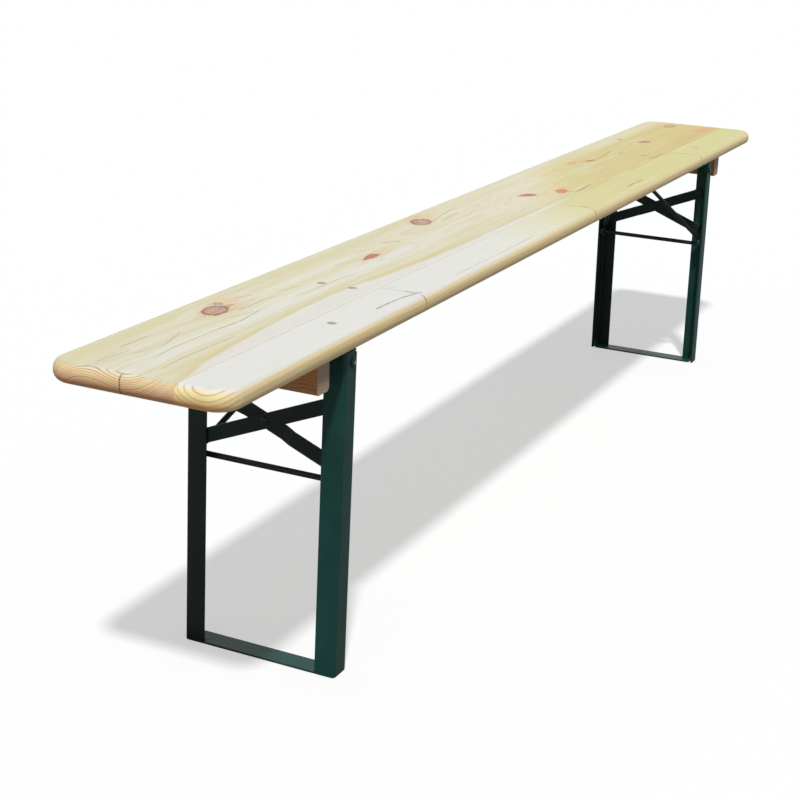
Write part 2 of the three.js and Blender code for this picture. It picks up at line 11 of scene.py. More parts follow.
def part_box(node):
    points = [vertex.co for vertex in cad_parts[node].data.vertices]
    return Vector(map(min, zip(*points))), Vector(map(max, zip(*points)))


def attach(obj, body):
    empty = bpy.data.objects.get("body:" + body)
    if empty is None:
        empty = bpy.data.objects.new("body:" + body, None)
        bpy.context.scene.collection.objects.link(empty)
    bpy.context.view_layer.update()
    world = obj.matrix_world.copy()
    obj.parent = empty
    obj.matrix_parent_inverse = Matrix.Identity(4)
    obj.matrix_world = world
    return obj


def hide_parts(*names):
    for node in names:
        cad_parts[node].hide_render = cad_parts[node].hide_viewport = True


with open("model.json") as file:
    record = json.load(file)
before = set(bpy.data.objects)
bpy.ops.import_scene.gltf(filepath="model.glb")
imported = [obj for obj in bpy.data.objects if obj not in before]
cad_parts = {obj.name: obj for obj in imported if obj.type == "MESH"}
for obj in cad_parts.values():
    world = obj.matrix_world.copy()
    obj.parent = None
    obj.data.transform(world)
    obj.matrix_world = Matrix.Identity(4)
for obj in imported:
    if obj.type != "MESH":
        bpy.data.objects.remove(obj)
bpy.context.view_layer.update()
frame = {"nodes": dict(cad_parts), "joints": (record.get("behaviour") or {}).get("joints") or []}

MM = 0.001

# Camera of the photograph
CAMERA_PLACE = Vector((-2.470518, -0.99063, 1.013901))
CAMERA_AZIMUTH = math.radians(-64.232)
CAMERA_ELEVATION = math.radians(18.616)
CAMERA_ROLL = math.radians(1.832)
CAMERA_LENS = 71.606
SENSOR_WIDTH = 36.0

# Light
WHITE = (1.0, 1.0, 1.0, 1.0)
SUN_STRENGTH = 2.7
SUN_SOFTNESS = math.radians(4)
SUN_FROM = Vector((-0.45, -0.22, 0.865))
SKY_COLOR = (0.94, 0.97, 1.0, 1.0)
SKY_STRENGTH = 0.26
FLOOR_SEEN = 0.50
FLOOR_GLOW = 0.50
FLOOR_BOUNCE = 0.32
FLOOR_HALF = 60.0

# Seat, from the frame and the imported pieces' edges
ENDS = ("left", "right")
CORNER_RADIUS = 33 * MM
EDGE_RADIUS = 12 * MM
JOINT_ARRIS = 0.35 * MM
STRIPS = [f"seat_strip_{number}" for number in (1, 2, 3, 4)]
SEAT_LOW = Vector(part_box("seat_plank")[0])
SEAT_LOW.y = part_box(STRIPS[0])[0].y
SEAT_HIGH = Vector(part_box("seat_plank")[1])
PLANK_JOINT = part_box("seat_plank")[0].y
STRIP_JOINTS = [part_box(name)[1].x for name in STRIPS[:-1]]
SEAT_RIVETS = [f"{end}_{kind}_rivet_{edge}" for end in ENDS
               for kind in ("bracket", "catch") for edge in ("front", "rear")]
RECESS_RADIUS = 6.3 * MM
RECESS_DEPTH = 2.0 * MM

# Leg frames, drawn with the hinge at the origin and the legs straight down
LEAN = math.radians(2)
ANGLE_WIDTH = 30 * MM
ANGLE_THICKNESS = 3 * MM
PIVOT_SETBACK = 20 * MM
SIDE_INNER = 113 * MM
BRACE_WIDTH = 20 * MM
BRACE_LAP = 15 * MM
BRACE_HIGH_DROP = 59 * MM
BRACE_LOW_DROP = 128 * MM
BRACE_CROSS_DROP = (BRACE_HIGH_DROP + BRACE_LOW_DROP) / 2
ROD_DROP = 160 * MM
FLOOR_BAR_TURN_UP = 13 * MM

# Round bar
BAR_RADIUS = 4 * MM
ROD_EDGE = 0.6 * MM
EYE_WIDTH = 9 * MM
EYE_MIDDLE = 2 * BAR_RADIUS + 0.1 * MM
BOW_BEND = 10 * MM
CROSSBAR_HALF = 22 * MM

# Rivets and screws
SEAT_HEAD_RADIUS = 6 * MM
SEAT_HEAD_HEIGHT = 1.6 * MM
SEAT_CROWN_HEIGHT = 0.4 * SEAT_HEAD_HEIGHT
SEAT_SHANK_RADIUS = 3 * MM
HINGE_HEAD_HEIGHT = 3 * MM
HINGE_SHANK_RADIUS = 4 * MM
HINGE_RUBBED_SHARE = 0.42
BRACE_HEAD_RADIUS = 6 * MM
BRACE_HEAD_HEIGHT = 2.2 * MM
BRACE_SHANK_RADIUS = 3 * MM
BRACE_GRIP = 6.9 * MM
SCREW_HEAD_RADIUS = 4.5 * MM
SCREW_HEAD_HEIGHT = 2.6 * MM
SCREW_RADIUS = 2 * MM
SCREW_POINT = 5 * MM
CROSS_MOUTH = 1.178 * MM
CROSS_FLOOR = 0.35 * MM
CROSS_DEPTH = 1.7 * MM
CROSS_STRETCH = 2.3
CROSS_SQUEEZE = 0.62

# Weld beads
RIPPLE_STEP = 1.1 * MM
STEPS_PER_RIPPLE = 2.6
BRACE_END_BEAD = 1.7 * MM
BRACE_SIDE_BEAD = 1.3 * MM
ROD_BEAD = 0.6 * MM
FOOT_TOP_BEAD = 1.5 * MM
FOOT_SIDE_BEAD = 1.4 * MM


def make_camera():
    """The camera stands where the photographer stood, rolled as the photograph is."""
    back = Vector((
        math.sin(CAMERA_AZIMUTH) * math.cos(CAMERA_ELEVATION),
        -math.cos(CAMERA_AZIMUTH) * math.cos(CAMERA_ELEVATION),
        math.sin(CAMERA_ELEVATION)))
    level = Vector((math.cos(CAMERA_AZIMUTH), math.sin(CAMERA_AZIMUTH), 0))
    upright = back.cross(level)
    right = level * math.cos(CAMERA_ROLL) + upright * math.sin(CAMERA_ROLL)
    up = upright * math.cos(CAMERA_ROLL) - level * math.sin(CAMERA_ROLL)
    data = bpy.data.cameras.new("camera")
    data.lens = CAMERA_LENS
    data.sensor_width = SENSOR_WIDTH
    camera = bpy.data.objects.new("camera", data)
    turn = Matrix((right, up, back)).transposed().to_4x4()
    camera.matrix_world = Matrix.Translation(CAMERA_PLACE) @ turn
    bpy.context.scene.collection.objects.link(camera)
    bpy.context.scene.camera = camera


def rgb(red, green, blue):
    """A colour written as it shows on a screen, from 0 to 255, as the shader's linear values."""
    linear = []
    for part in (red, green, blue):
        share = part / 255
        linear.append(share / 12.92 if share <= 0.04045 else ((share + 0.055) / 1.055) ** 2.4)
    return (*linear, 1.0)


# Knots of the seat: centre x and y, half length, half width and turn, in mm and degrees, and its kind
KNOTS = [
    (-821, 70, 23, 15.5, 13, "ringed"),
    (-454, 38, 22, 9, 2, "red"),
    (-197, 80, 22, 16, 20, "ringed"),
    (107, 20, 20, 12, -32, "red"),
    (180, -18, 19, 10, 12, "salmon"),
    (262, -39, 15, 5, 0, "smear"),
    (455, 66, 27, 9, -6, "smear"),
    (505, 46, 14, 6, -14, "salmon"),
    (790, 30, 18, 11, -25, "red"),
    (1040, 50, 25, 12, 3, "faint"),
    (1035, -30, 44, 20, 0, "smear"),
]
KNOT_COLORS = {
    # inside, outline, how strongly the outline shows, and how strong its warm halo is
    "ringed": (rgb(206, 168, 148), rgb(122, 82, 64), 0.8, 0.85),
    "red": (rgb(196, 132, 116), rgb(164, 98, 84), 0.6, 0.45),
    "salmon": (rgb(212, 150, 106), rgb(176, 104, 70), 0.4, 0.8),
    "smear": (rgb(216, 170, 116), rgb(196, 138, 96), 0.2, 0.5),
    "faint": (rgb(210, 182, 138), rgb(168, 126, 90), 0.5, 0.5),
}

# Cracks and resin lines on the seat: for each kind its colour and strength, and then the points
# along each line and its half width, in mm
STREAKS = {
    "crack": (rgb(116, 92, 64), 0.80, [
        ([(-702, -100), (-666, -100), (-634, -103), (-604, -110)], 2.0),
        ([(596, -45), (632, -47), (672, -50), (688, -64), (703, -84)], 1.4),
        ([(291, -105), (330, -103), (372, -105)], 1.5),
        ([(77, -93), (68, -108)], 1.3),
        ([(-601, -92), (-604, -104), (-597, -114)], 1.8),
        ([(-363, 62), (-336, 48)], 1.4),
    ]),
    "resin": (rgb(186, 168, 112), 0.62, [
        ([(-480, -112), (-330, -113), (-185, -112)], 1.2),
        ([(-596, -58), (-592, -71)], 1.2),
        ([(-526, 58), (-498, 48), (-468, 45)], 1.6),
        ([(-430, 66), (-396, 58)], 1.4),
        ([(-188, 66), (-165, 68), (-110, 77), (-65, 81)], 2.2),
        ([(-700, 20), (-560, 12)], 1.2),
        ([(760, 72), (825, 71), (898, 61), (1006, 54)], 1.5),
    ]),
    "grain": (rgb(150, 136, 92), 0.62, [
        ([(-1028, 20), (-975, 24), (-928, 23), (-896, 22), (-846, 17), (-788, 23)], 1.1),
        ([(-1059, -11), (-1012, -8), (-962, -10), (-905, -12)], 1.1),
        ([(-1073, 66), (-1049, 63), (-1018, 60)], 1.2),
        ([(-800, 46), (-777, 45), (-745, 46), (-720, 42)], 1.2),
    ]),
    "brown": (rgb(176, 130, 96), 0.60, [
        ([(-757, 83), (-731, 71)], 1.5),
        ([(-803, 51), (-782, 44)], 1.3),
        ([(-838, 37), (-797, 26)], 1.3),
        ([(-696, 52), (-653, 42)], 1.2),
        ([(-1011, 78), (-986, 76), (-961, 76)], 1.4),
        ([(-1025, 49), (-1004, 42), (-978, 39), (-927, 52)], 1.3),
    ]),
    "red": (rgb(156, 84, 58), 0.75, [
        ([(482, 59), (518, 43), (553, 42), (635, 51)], 1.6),
        ([(181, -27), (194, -41), (220, -43), (253, -41)], 1.8),
    ]),
}

# Where the pale sapwood of the wide plank ends: x, and the y of its edge, in mm
SAPWOOD_EDGE = [(-1100, -56), (-1024, -40), (-841, -23), (-675, -16), (-567, -26), (-404, -39), (-141, -42),
                (200, -48), (1100, -60)]

# How high a growth ring of the wide plank lies across it: y and height, in mm
RING_RISE = [(-70, 46), (-45, 25), (-30, 12), (-12, 1), (17, -5), (58, 1), (84, -4), (108, -20), (130, -38)]

# The broad bands of the wide plank's near end: y in mm, and how olive the wood is there
PLANK_BAND_SHARES = [
    (-62, 0.25), (-38, 0.7), (-27, 0.95), (-15, 0.3), (-7, 0.7), (4, 0.05), (28, 0.05),
    (44, 0.55), (62, 0.25), (84, 0.75), (104, 0.85), (118, 0.4), (132, 0.35),
]
BAND_PALE = rgb(229, 227, 213)
BAND_OLIVE = rgb(219, 212, 168)

# How dark a joint of the strip shows at each height z in mm
SEAM_SHARES = [(443, 0.3), (458, 0.35), (463, 0.85), (467, 0.7), (470, 0.25)]

# Battens: how far out and how high the pith of their log lies, and their width of ring, in mm
BATTEN_PITH_X = 840.0
BATTEN_PITH_Z = 392.0
BATTEN_RING = 2.6

# Paint where it is scuffed or worn thin
SCUFFED_PAINT = rgb(84, 108, 102)
WORN_PAINT = rgb(108, 122, 116)

# Colours of the seat's wood
KNOT_HALO = rgb(230, 190, 146)
KNOT_SPRAY = rgb(176, 128, 94)
KNOT_FLECK = rgb(232, 200, 182)
STRIPE_PALE = rgb(231, 229, 219)
STRIPE_OLIVE = rgb(221, 209, 166)
STRIPE_CREAM = rgb(226, 221, 202)
FAR_BACK = rgb(226, 218, 182)
FAR_FRONT = rgb(211, 182, 120)
# Sapwood colour, whitened as painted sheen
SAPWOOD_AND_SHEEN = rgb(231, 230, 225)
SAPWOOD_RIM = rgb(220, 200, 150)
PLANK_LATEWOOD = rgb(196, 160, 104)
STRIP_LATEWOOD = rgb(206, 182, 130)
HAIR = rgb(190, 172, 122)
DASH = rgb(180, 156, 108)
# Colours of the long edges: the wood's warmer tone, made brighter as painted light on the rounded faces, and
# paler towards the far end
SIDE = rgb(249, 220, 156)
SIDE_RING = rgb(212, 160, 98)
SIDE_FAR = rgb(252, 230, 180)
# Painted shade of the lower rounded face of the long edges
SIDE_UNDER_SHADE = rgb(206, 146, 78)
SEAM = rgb(104, 78, 50)
END_CRACK = rgb(74, 46, 30)
# End grain: its colour high up and low down, the low one darker as painted shade of the rounded underside,
# its rings' colour, and how strongly they show
PLANK_END = (rgb(242, 208, 162), rgb(208, 142, 102), rgb(116, 68, 46), 0.80)
STRIP_END = (rgb(247, 228, 166), rgb(226, 160, 92), rgb(184, 134, 84), 0.55)

# The wide plank: its width of ring in mm, its grain's seed, and its ground colours by x in mm
PLANK_RING = 2.6
PLANK_SEED = 2.0
PLANK_TONES = [
    (-1400, rgb(225, 218, 186)), (-900, rgb(226, 220, 194)), (60, rgb(228, 221, 195)),
    (170, rgb(225, 216, 174)), (280, rgb(216, 206, 146)), (450, rgb(215, 201, 141)),
    (1300, rgb(214, 197, 130)),
]

# The four lengths of the strip: ring width, pith y and pith z in mm, the colour of the stripes, how much
# of the figure shows, the grain's seed, and the ground colours by x in mm
# The near lengths of the strip are whiter: the wood's own pale tone, and a painted sheen
STRIP_WHITE = rgb(231, 231, 226)
STRIP_YELLOW = rgb(216, 211, 151)
STRIP_LOOKS = [
    ((6.0, -90.0, 500.0), STRIPE_CREAM, 0.22, 5.0, [(-1100, STRIP_WHITE), (-605, STRIP_WHITE)]),
    ((5.2, -104.0, 512.0), STRIPE_CREAM, 0.22, 9.0, [
        (-605, STRIP_WHITE), (-240, rgb(230, 230, 220)), (-60, rgb(227, 223, 190)),
        (66, rgb(221, 216, 168))]),
    ((4.6, -70.0, 505.0), STRIPE_OLIVE, 0.4, 14.0, [
        (66, rgb(219, 214, 160)), (300, STRIP_YELLOW), (704, STRIP_YELLOW)]),
    ((5.6, -98.0, 520.0), STRIPE_OLIVE, 0.4, 23.0, [(704, STRIP_YELLOW), (1100, STRIP_YELLOW)]),
]

# A knot whose centre lies further than this from a board, in mm, doesn't reach it
KNOT_REACH_X = 60
KNOT_REACH_Y = 20


class Graph:
    """A material's node tree, with short calls that add a node and give back its output.

    Each node is made after the nodes that feed it, because the renderer then holds fewer values at once.
    """

    def __init__(self, name):
        self.material = bpy.data.materials.new(name)
        self.material.use_nodes = True
        self.tree = self.material.node_tree
        self.shader = self.tree.nodes["Principled BSDF"]

    def node(self, kind, **settings):
        made = self.tree.nodes.new(kind)
        for key, value in settings.items():
            setattr(made, key, value)
        return made

    def feed(self, socket, value):
        """Links another node's output to a socket, or sets the socket to a plain value."""
        if isinstance(value, bpy.types.NodeSocket):
            self.tree.links.new(value, socket)
        elif value is not None:
            socket.default_value = value

    def millimetres(self):
        """The object's own x, y and z, in mm."""
        place = self.node("ShaderNodeTexCoord").outputs["Object"]
        scaled = self.node("ShaderNodeVectorMath", operation="SCALE")
        self.feed(scaled.inputs[0], place)
        scaled.inputs["Scale"].default_value = 1 / MM
        return self.split(scaled.outputs["Vector"])

    def facing(self):
        """The parts of the surface's own normal along x, y and z."""
        return self.split(self.node("ShaderNodeTexCoord").outputs["Normal"])

    def edge_share(self):
        """One on the faces that a piece's mesh marks as worn, and zero elsewhere."""
        return self.node("ShaderNodeAttribute", attribute_name="edge").outputs["Fac"]

    def math(self, operation, a, b=None, c=None):
        made = self.node("ShaderNodeMath", operation=operation)
        for socket, value in zip(made.inputs, (a, b, c)):
            self.feed(socket, value)
        return made.outputs[0]

    def add(self, a, b):
        return self.math("ADD", a, b)

    def minus(self, a, b):
        return self.math("SUBTRACT", a, b)

    def times(self, a, b):
        return self.math("MULTIPLY", a, b)

    def times_plus(self, a, b, c):
        """a times b, plus c."""
        return self.math("MULTIPLY_ADD", a, b, c)

    def length(self, x, y, z=0.0):
        joined = self.join(x, y, z)
        made = self.node("ShaderNodeVectorMath", operation="LENGTH")
        self.feed(made.inputs[0], joined)
        return made.outputs["Value"]

    def split(self, value):
        made = self.node("ShaderNodeSeparateXYZ")
        self.feed(made.inputs[0], value)
        return made.outputs[0], made.outputs[1], made.outputs[2]

    def join(self, x, y, z):
        made = self.node("ShaderNodeCombineXYZ")
        for socket, value in zip(made.inputs, (x, y, z)):
            self.feed(socket, value)
        return made.outputs[0]

    def noise(self, x, y, z, detail=2.0, roughness=0.5):
        """Noise of about 0.5 that changes once per unit of x, y and z."""
        joined = self.join(x, y, z)
        made = self.node("ShaderNodeTexNoise")
        self.feed(made.inputs["Vector"], joined)
        made.inputs["Scale"].default_value = 1.0
        made.inputs["Detail"].default_value = detail
        made.inputs["Roughness"].default_value = roughness
        return made.outputs[0]

    def noise_at(self, point, scale, detail=2.0, roughness=0.5, seed=0.0):
        """Noise of about 0.5 at a point in mm, with one scale for all axes or one for each.

        The larger the scale, the finer the noise. A point of two numbers takes the seed as its third.
        """
        scales = scale if isinstance(scale, tuple) else (scale,) * len(point)
        parts = [self.times(part, its_scale) for part, its_scale in zip(point, scales)]
        parts += [seed] * (3 - len(parts))
        return self.noise(*parts, detail, roughness)

    def span(self, value, low, high, to_low=0.0, to_high=1.0):
        """A smooth change from one number to another as the value goes from low to high."""
        made = self.node("ShaderNodeMapRange", clamp=False, interpolation_type="SMOOTHSTEP")
        for socket, number in zip(made.inputs, (value, low, high, to_low, to_high)):
            self.feed(socket, number)
        return made.outputs[0]

    def fall(self, value, low, high, top=1.0):
        """A smooth fall from top to zero as the value goes from low to high."""
        return self.span(value, low, high, top, 0.0)

    def pulse(self, value, rise_low, rise_high, fall_low, fall_high):
        """One between a smooth rise and a smooth fall, and zero outside them."""
        return self.times(self.span(value, rise_low, rise_high), self.fall(value, fall_low, fall_high))

    def ramp(self, value, low, high, stops):
        """A colour that follows a value through a list of (value, colour) stops."""
        share = self.math("DIVIDE", self.minus(value, low), high - low)
        made = self.node("ShaderNodeValToRGB")
        made.color_ramp.interpolation = "LINEAR"
        elements = made.color_ramp.elements
        places = [(place - low) / (high - low) for place, _ in stops]
        elements[0].position, elements[0].color = places[0], stops[0][1]
        elements[1].position, elements[1].color = places[-1], stops[-1][1]
        for place, (_, color) in zip(places[1:-1], stops[1:-1]):
            elements.new(place).color = color
        self.feed(made.inputs[0], share)
        return made.outputs[0]

    def curve(self, value, low, high, stops):
        """A number from 0 to 1 that follows a value through a list of (value, number) stops."""
        color = self.ramp(value, low, high, [(place, (level,) * 4) for place, level in stops])
        color.node.color_ramp.interpolation = "CARDINAL"
        return color.node.outputs["Alpha"]

    def wide_curve(self, value, low, high, stops, base, reach):
        """As curve, for numbers that lie between base and base + reach."""
        share = self.curve(value, low, high, [(place, (level - base) / reach) for place, level in stops])
        return self.times_plus(share, reach, base)

    def mix(self, share, a, b, kind="MIX"):
        made = self.node("ShaderNodeMix", data_type="RGBA", blend_type=kind)
        self.feed(made.inputs["Factor"], share)
        self.feed(made.inputs[6], a)
        self.feed(made.inputs[7], b)
        return made.outputs[2]

    def bump(self, height, distance, strength):
        made = self.node("ShaderNodeBump")
        self.feed(made.inputs["Height"], height)
        made.inputs["Distance"].default_value = distance
        made.inputs["Strength"].default_value = strength
        self.feed(self.shader.inputs["Normal"], made.outputs[0])

    def set(self, **values):
        """Feeds the shader's sockets, named with _ for each space."""
        for key, value in values.items():
            self.feed(self.shader.inputs[key.replace("_", " ")], value)


class SeatWood(Graph):
    """Flat-sawn pine: growth rings that wander along a board and flow round its knots.

    low and high are the board's corners in mm. rings is (ring width,) for the plank, whose rings follow
    RING_RISE, or (ring width, pith y, pith z) for a length of the strip. tones are (x, colour) stops of the
    ground colour. vivid is how much of the figure, in the latewood and stripe colours, shows on top.
    """

    def __init__(self, name, low, high, rings, tones, latewood, stripe, vivid, seed):
        super().__init__(name)
        self.low = low
        self.high = high
        self.seed = seed
        self.is_plank = len(rings) == 1
        self.x, self.y, self.z = self.millimetres()
        self.wave = self.minus(self.noise_at((self.x, self.y, self.z), (0.011, 0.08, 0.08), 3.0), 0.5)
        self.x_wavy = self.times_plus(self.wave, -4.0, self.x)
        self.y_wavy = self.times_plus(self.wave, 4.0, self.y)
        self.flow_round_knots()
        self.count_rings(rings)
        self.draw_fibres()
        color = self.ground_color(tones, stripe, vivid)
        color = self.mix(self.times(self.band, 0.25 * vivid), color, latewood)
        color = self.mix(self.span(self.hair, 0.66, 0.74, 0.0, 0.34 * vivid), color, HAIR)
        color = self.mix(self.span(self.dash, 0.70, 0.76, 0.0, 0.24 * vivid), color, DASH)
        color = self.paint_sides_and_ends(color)
        tone = self.span(self.fibre, 0.25, 0.75, 0.94, 1.03)
        color = self.mix(1.0, color, self.join(tone, tone, tone), "MULTIPLY")
        color = self.paint_knots(color)
        color, crack_depth = self.paint_lines(color)
        color = self.paint_end_crack(color) if self.is_plank else self.paint_seams(color)
        self.set(Base_Color=color, Specular_IOR_Level=0.18)
        self.set(Roughness=self.times_plus(self.band, -0.10, 0.60))
        height = self.times_plus(self.band, 0.35, self.times(self.fibre, 0.6))
        if crack_depth is not None:
            height = self.minus(height, self.times(crack_depth, 1.6))
        self.bump(height, 0.4 * MM, 0.5)

    def knot_fields(self, x, y, knot):
        """A knot's own measures: one on its rim, its off-centre y, its wide pull and its long halo."""
        centre_x, centre_y, half_length, half_width, turn, kind = knot
        angle = math.radians(turn)
        off_x = self.minus(x, float(centre_x))
        off_y = self.minus(y, float(centre_y))
        along = self.times(off_x, math.cos(angle) / half_length)
        along = self.times_plus(off_y, math.sin(angle) / half_length, along)
        across = self.times(off_x, -math.sin(angle) / half_width)
        across = self.times_plus(off_y, math.cos(angle) / half_width, across)
        wide = self.length(self.times(along, 0.34), self.times(across, 0.5))
        ahead = self.minus(along, 0.8)
        halo = self.length(self.times(ahead, 0.36), self.times(across, 0.55))
        if kind == "red":
            share = self.times_plus(along, 0.36, 0.74)
            across = self.math("DIVIDE", across, self.math("MAXIMUM", share, 0.3))
        return self.length(along, across), off_y, wide, halo

    def flow_round_knots(self):
        """Measures the board's knots, and bends the grain's y round them."""
        fine_x = self.times(self.x, 0.085)
        fine_y = self.times(self.y, 0.085)
        near_x = self.times_plus(self.minus(self.noise(fine_x, fine_y, self.seed), 0.5), 9.0, self.x)
        near_y = self.times_plus(self.minus(self.noise(fine_y, fine_x, self.seed), 0.5), 6.0, self.y)
        self.cores = {}
        self.warmth = 0.0
        self.spray = 0.0
        self.y_flow = self.y_wavy
        for knot in KNOTS:
            if not self.holds(knot[0], knot[1], KNOT_REACH_X, KNOT_REACH_Y):
                continue
            kind = knot[-1]
            radius, off_y, wide, halo = self.knot_fields(near_x, near_y, knot)
            self.cores[kind] = self.math("MINIMUM", radius, self.cores.get(kind, 9.0))
            warmth = self.fall(halo, 0.25, 1.15, KNOT_COLORS[kind][3])
            self.warmth = self.math("MAXIMUM", warmth, self.warmth)
            if kind == "ringed":
                self.spray = self.math("MAXIMUM", self.fall(halo, 0.5, 1.0, 0.6), self.spray)
            if kind != "smear":
                pull = self.math("POWER", math.e, self.times(self.times(wide, wide), -1.0))
                self.y_flow = self.times_plus(self.times(off_y, pull), -0.7, self.y_flow)

    def holds(self, x, y, reach_x=0, reach_y=0):
        """Whether a place lies on this board, or no further from it than the reach."""
        return (self.low.x - reach_x < x < self.high.x + reach_x
                and self.low.y - reach_y < y < self.high.y + reach_y)

    def count_rings(self, rings):
        """The growth ring that each point lies in, and its late wood as a soft band and as a thin line."""
        slow = self.times(self.x, 0.0016)
        drift_y = self.minus(self.noise(slow, self.seed, 0.0, 1.0), 0.5)
        self.drift_z = self.minus(self.noise(slow, self.seed + 7.0, 0.0, 2.0), 0.5)
        if self.is_plank:
            drift_y = self.times(drift_y, self.span(self.x, -1100.0, -900.0))
            at_y = self.times_plus(drift_y, 40.0, self.y_flow)
            rise = self.wide_curve(at_y, -70, 130, RING_RISE, -40.0, 90.0)
            level = self.times_plus(self.drift_z, 26.0, self.minus(self.z, rise))
            count = self.math("DIVIDE", level, rings[0])
        else:
            ring_width, pith_y, pith_z = rings
            from_y = self.minus(self.times_plus(drift_y, -40.0, self.y_flow), pith_y)
            from_z = self.minus(self.times_plus(self.drift_z, -30.0, self.z), pith_z)
            count = self.math("DIVIDE", self.length(from_y, from_z), ring_width)
        sway = self.noise_at((count, self.x), (0.31, 0.004), seed=self.seed)
        count = self.times_plus(sway, 1.6, count)
        share = self.math("FRACT", count)
        band = self.pulse(share, 0.38, 0.90, 0.94, 1.0)
        line = self.pulse(share, 0.60, 0.90, 0.94, 1.0)
        ring = self.math("FLOOR", count)
        chance = self.node("ShaderNodeTexWhiteNoise", noise_dimensions="1D")
        self.feed(chance.inputs["W"], ring)
        self.band = self.times(band, self.span(chance.outputs["Value"], 0.0, 1.0, 0.35, 1.0))
        self.line = self.times(line, self.span(chance.outputs["Value"], 0.0, 1.0, 0.6, 1.0))

    def draw_fibres(self):
        """Finer detail along the grain, and which way the surface faces."""
        flat = (self.x, self.y_flow)
        self.fibre = self.noise_at((*flat, self.z), (0.02, 1.2, 1.2), 3.0, 0.6)
        self.stripes = self.noise_at(flat, (0.0034, 0.055), 3.0, 0.55, self.seed)
        self.dash = self.noise_at(flat, (0.022, 0.42), 2.0, 0.5, self.seed + 3.0)
        self.hair = self.noise_at(flat, (0.006, 0.55), 2.0, 0.5, self.seed + 11.0)
        self.specks = self.noise_at((self.x, self.y), (0.06, 0.26), 3.0, 0.6, self.seed + 5.0)
        east, _, self.up = self.facing()
        self.endward = self.math("ABSOLUTE", east)
        self.end_grain = self.span(self.endward, 0.30, 0.98)
        self.side_facing_share = self.fall(self.up, 0.35, 1.0)

    def ground_color(self, tones, stripe, vivid):
        """The broad colours: tones along x, stripes and, on the plank, its bands and its sapwood, whitened
        towards the near end as painted sheen.
        """
        x, y = self.x, self.y
        place = self.times_plus(y, -2.2, x) if self.is_plank else x
        ground = self.ramp(place, tones[0][0], tones[-1][0], tones)
        pale = self.fall(self.stripes, 0.34, 0.48, 0.50 * vivid)
        darker = self.span(self.stripes, 0.50, 0.66, 0.0, 0.40 * vivid)
        if self.is_plank:
            far = self.span(x, 150.0, 700.0)
            band_y = self.times_plus(self.drift_z, 26.0, self.y_flow)
            broad = self.mix(self.curve(band_y, -62, 132, PLANK_BAND_SHARES), BAND_PALE, BAND_OLIVE)
            ground = self.mix(self.fall(x, -500.0, 150.0, 0.9), ground, broad)
            pale = self.times(pale, self.times_plus(far, -0.55, 1.0))
            ground = self.mix(self.times(self.span(y, 66.0, 96.0), far), ground, FAR_BACK)
            warm = self.times(self.span(x, 600.0, 1000.0), self.fall(y, -50.0, 10.0, 0.8))
            ground = self.mix(warm, ground, FAR_FRONT)
        ground = self.mix(pale, ground, STRIPE_PALE)
        ground = self.mix(darker, ground, stripe)
        return self.lay_sapwood_and_sheen(ground) if self.is_plank else ground

    def lay_sapwood_and_sheen(self, ground):
        """Pale sapwood along the front of the plank, whitened towards the near end as painted sheen, with a
        broken tan line where it ends.
        """
        edge = self.wide_curve(self.x, self.low.x, self.high.x, SAPWOOD_EDGE, -100.0, 100.0)
        past = self.minus(self.times_plus(self.wave, 7.0, self.y), edge)
        # The whitening fades out along x: a painted sheen on the near end
        fade = self.fall(self.x, -40.0, 270.0)
        ground = self.mix(self.times(self.fall(past, -5.0, 3.0, 0.88), fade), ground, SAPWOOD_AND_SHEEN)
        tan = self.pulse(past, -3.0, 2.0, 3.0, 12.0)
        tan = self.times(tan, self.times(self.span(self.dash, 0.3, 0.6, 0.35, 1.0), fade))
        return self.mix(self.times(tan, 0.7), ground, SAPWOOD_RIM)

    def paint_sides_and_ends(self, color):
        """Warmer wood round the long edges, brightened as painted light with painted shade low on their
        underside, and end grain with its rings at the ends, darker low down as painted shade.
        """
        # Painted light: the rounded long edges get a brighter, warmer colour than the top
        side = self.mix(self.times(self.band, 0.40), SIDE, SIDE_RING)
        side = self.mix(self.span(self.x, -350.0, 350.0, 0.0, 0.75), side, SIDE_FAR)
        # Painted shade: the lower rounded face of the long edges darkens, more at the near end, but not the
        # flat underside
        rounded = self.times(self.span(self.x, -500.0, 100.0, 0.6, 0.2), self.span(self.up, -0.98, -0.85))
        side = self.mix(self.times(self.fall(self.z, 443.0, 454.0), rounded), side, SIDE_UNDER_SHADE)
        color = self.mix(self.times(self.side_facing_share, 0.86), color, side)
        ring_share = self.span(self.endward, 0.05, 0.40)
        # Painted shade: the end grain darkens towards the bottom
        low_shade_share = self.fall(self.z, 448.0, 461.0)
        high_color, low_shade_color, ring_color, ring_strength = PLANK_END if self.is_plank else STRIP_END
        end = self.mix(low_shade_share, high_color, low_shade_color)
        color = self.mix(self.times(self.end_grain, 0.92), color, end)
        return self.mix(self.times(self.times(self.line, ring_share), ring_strength), color, ring_color)

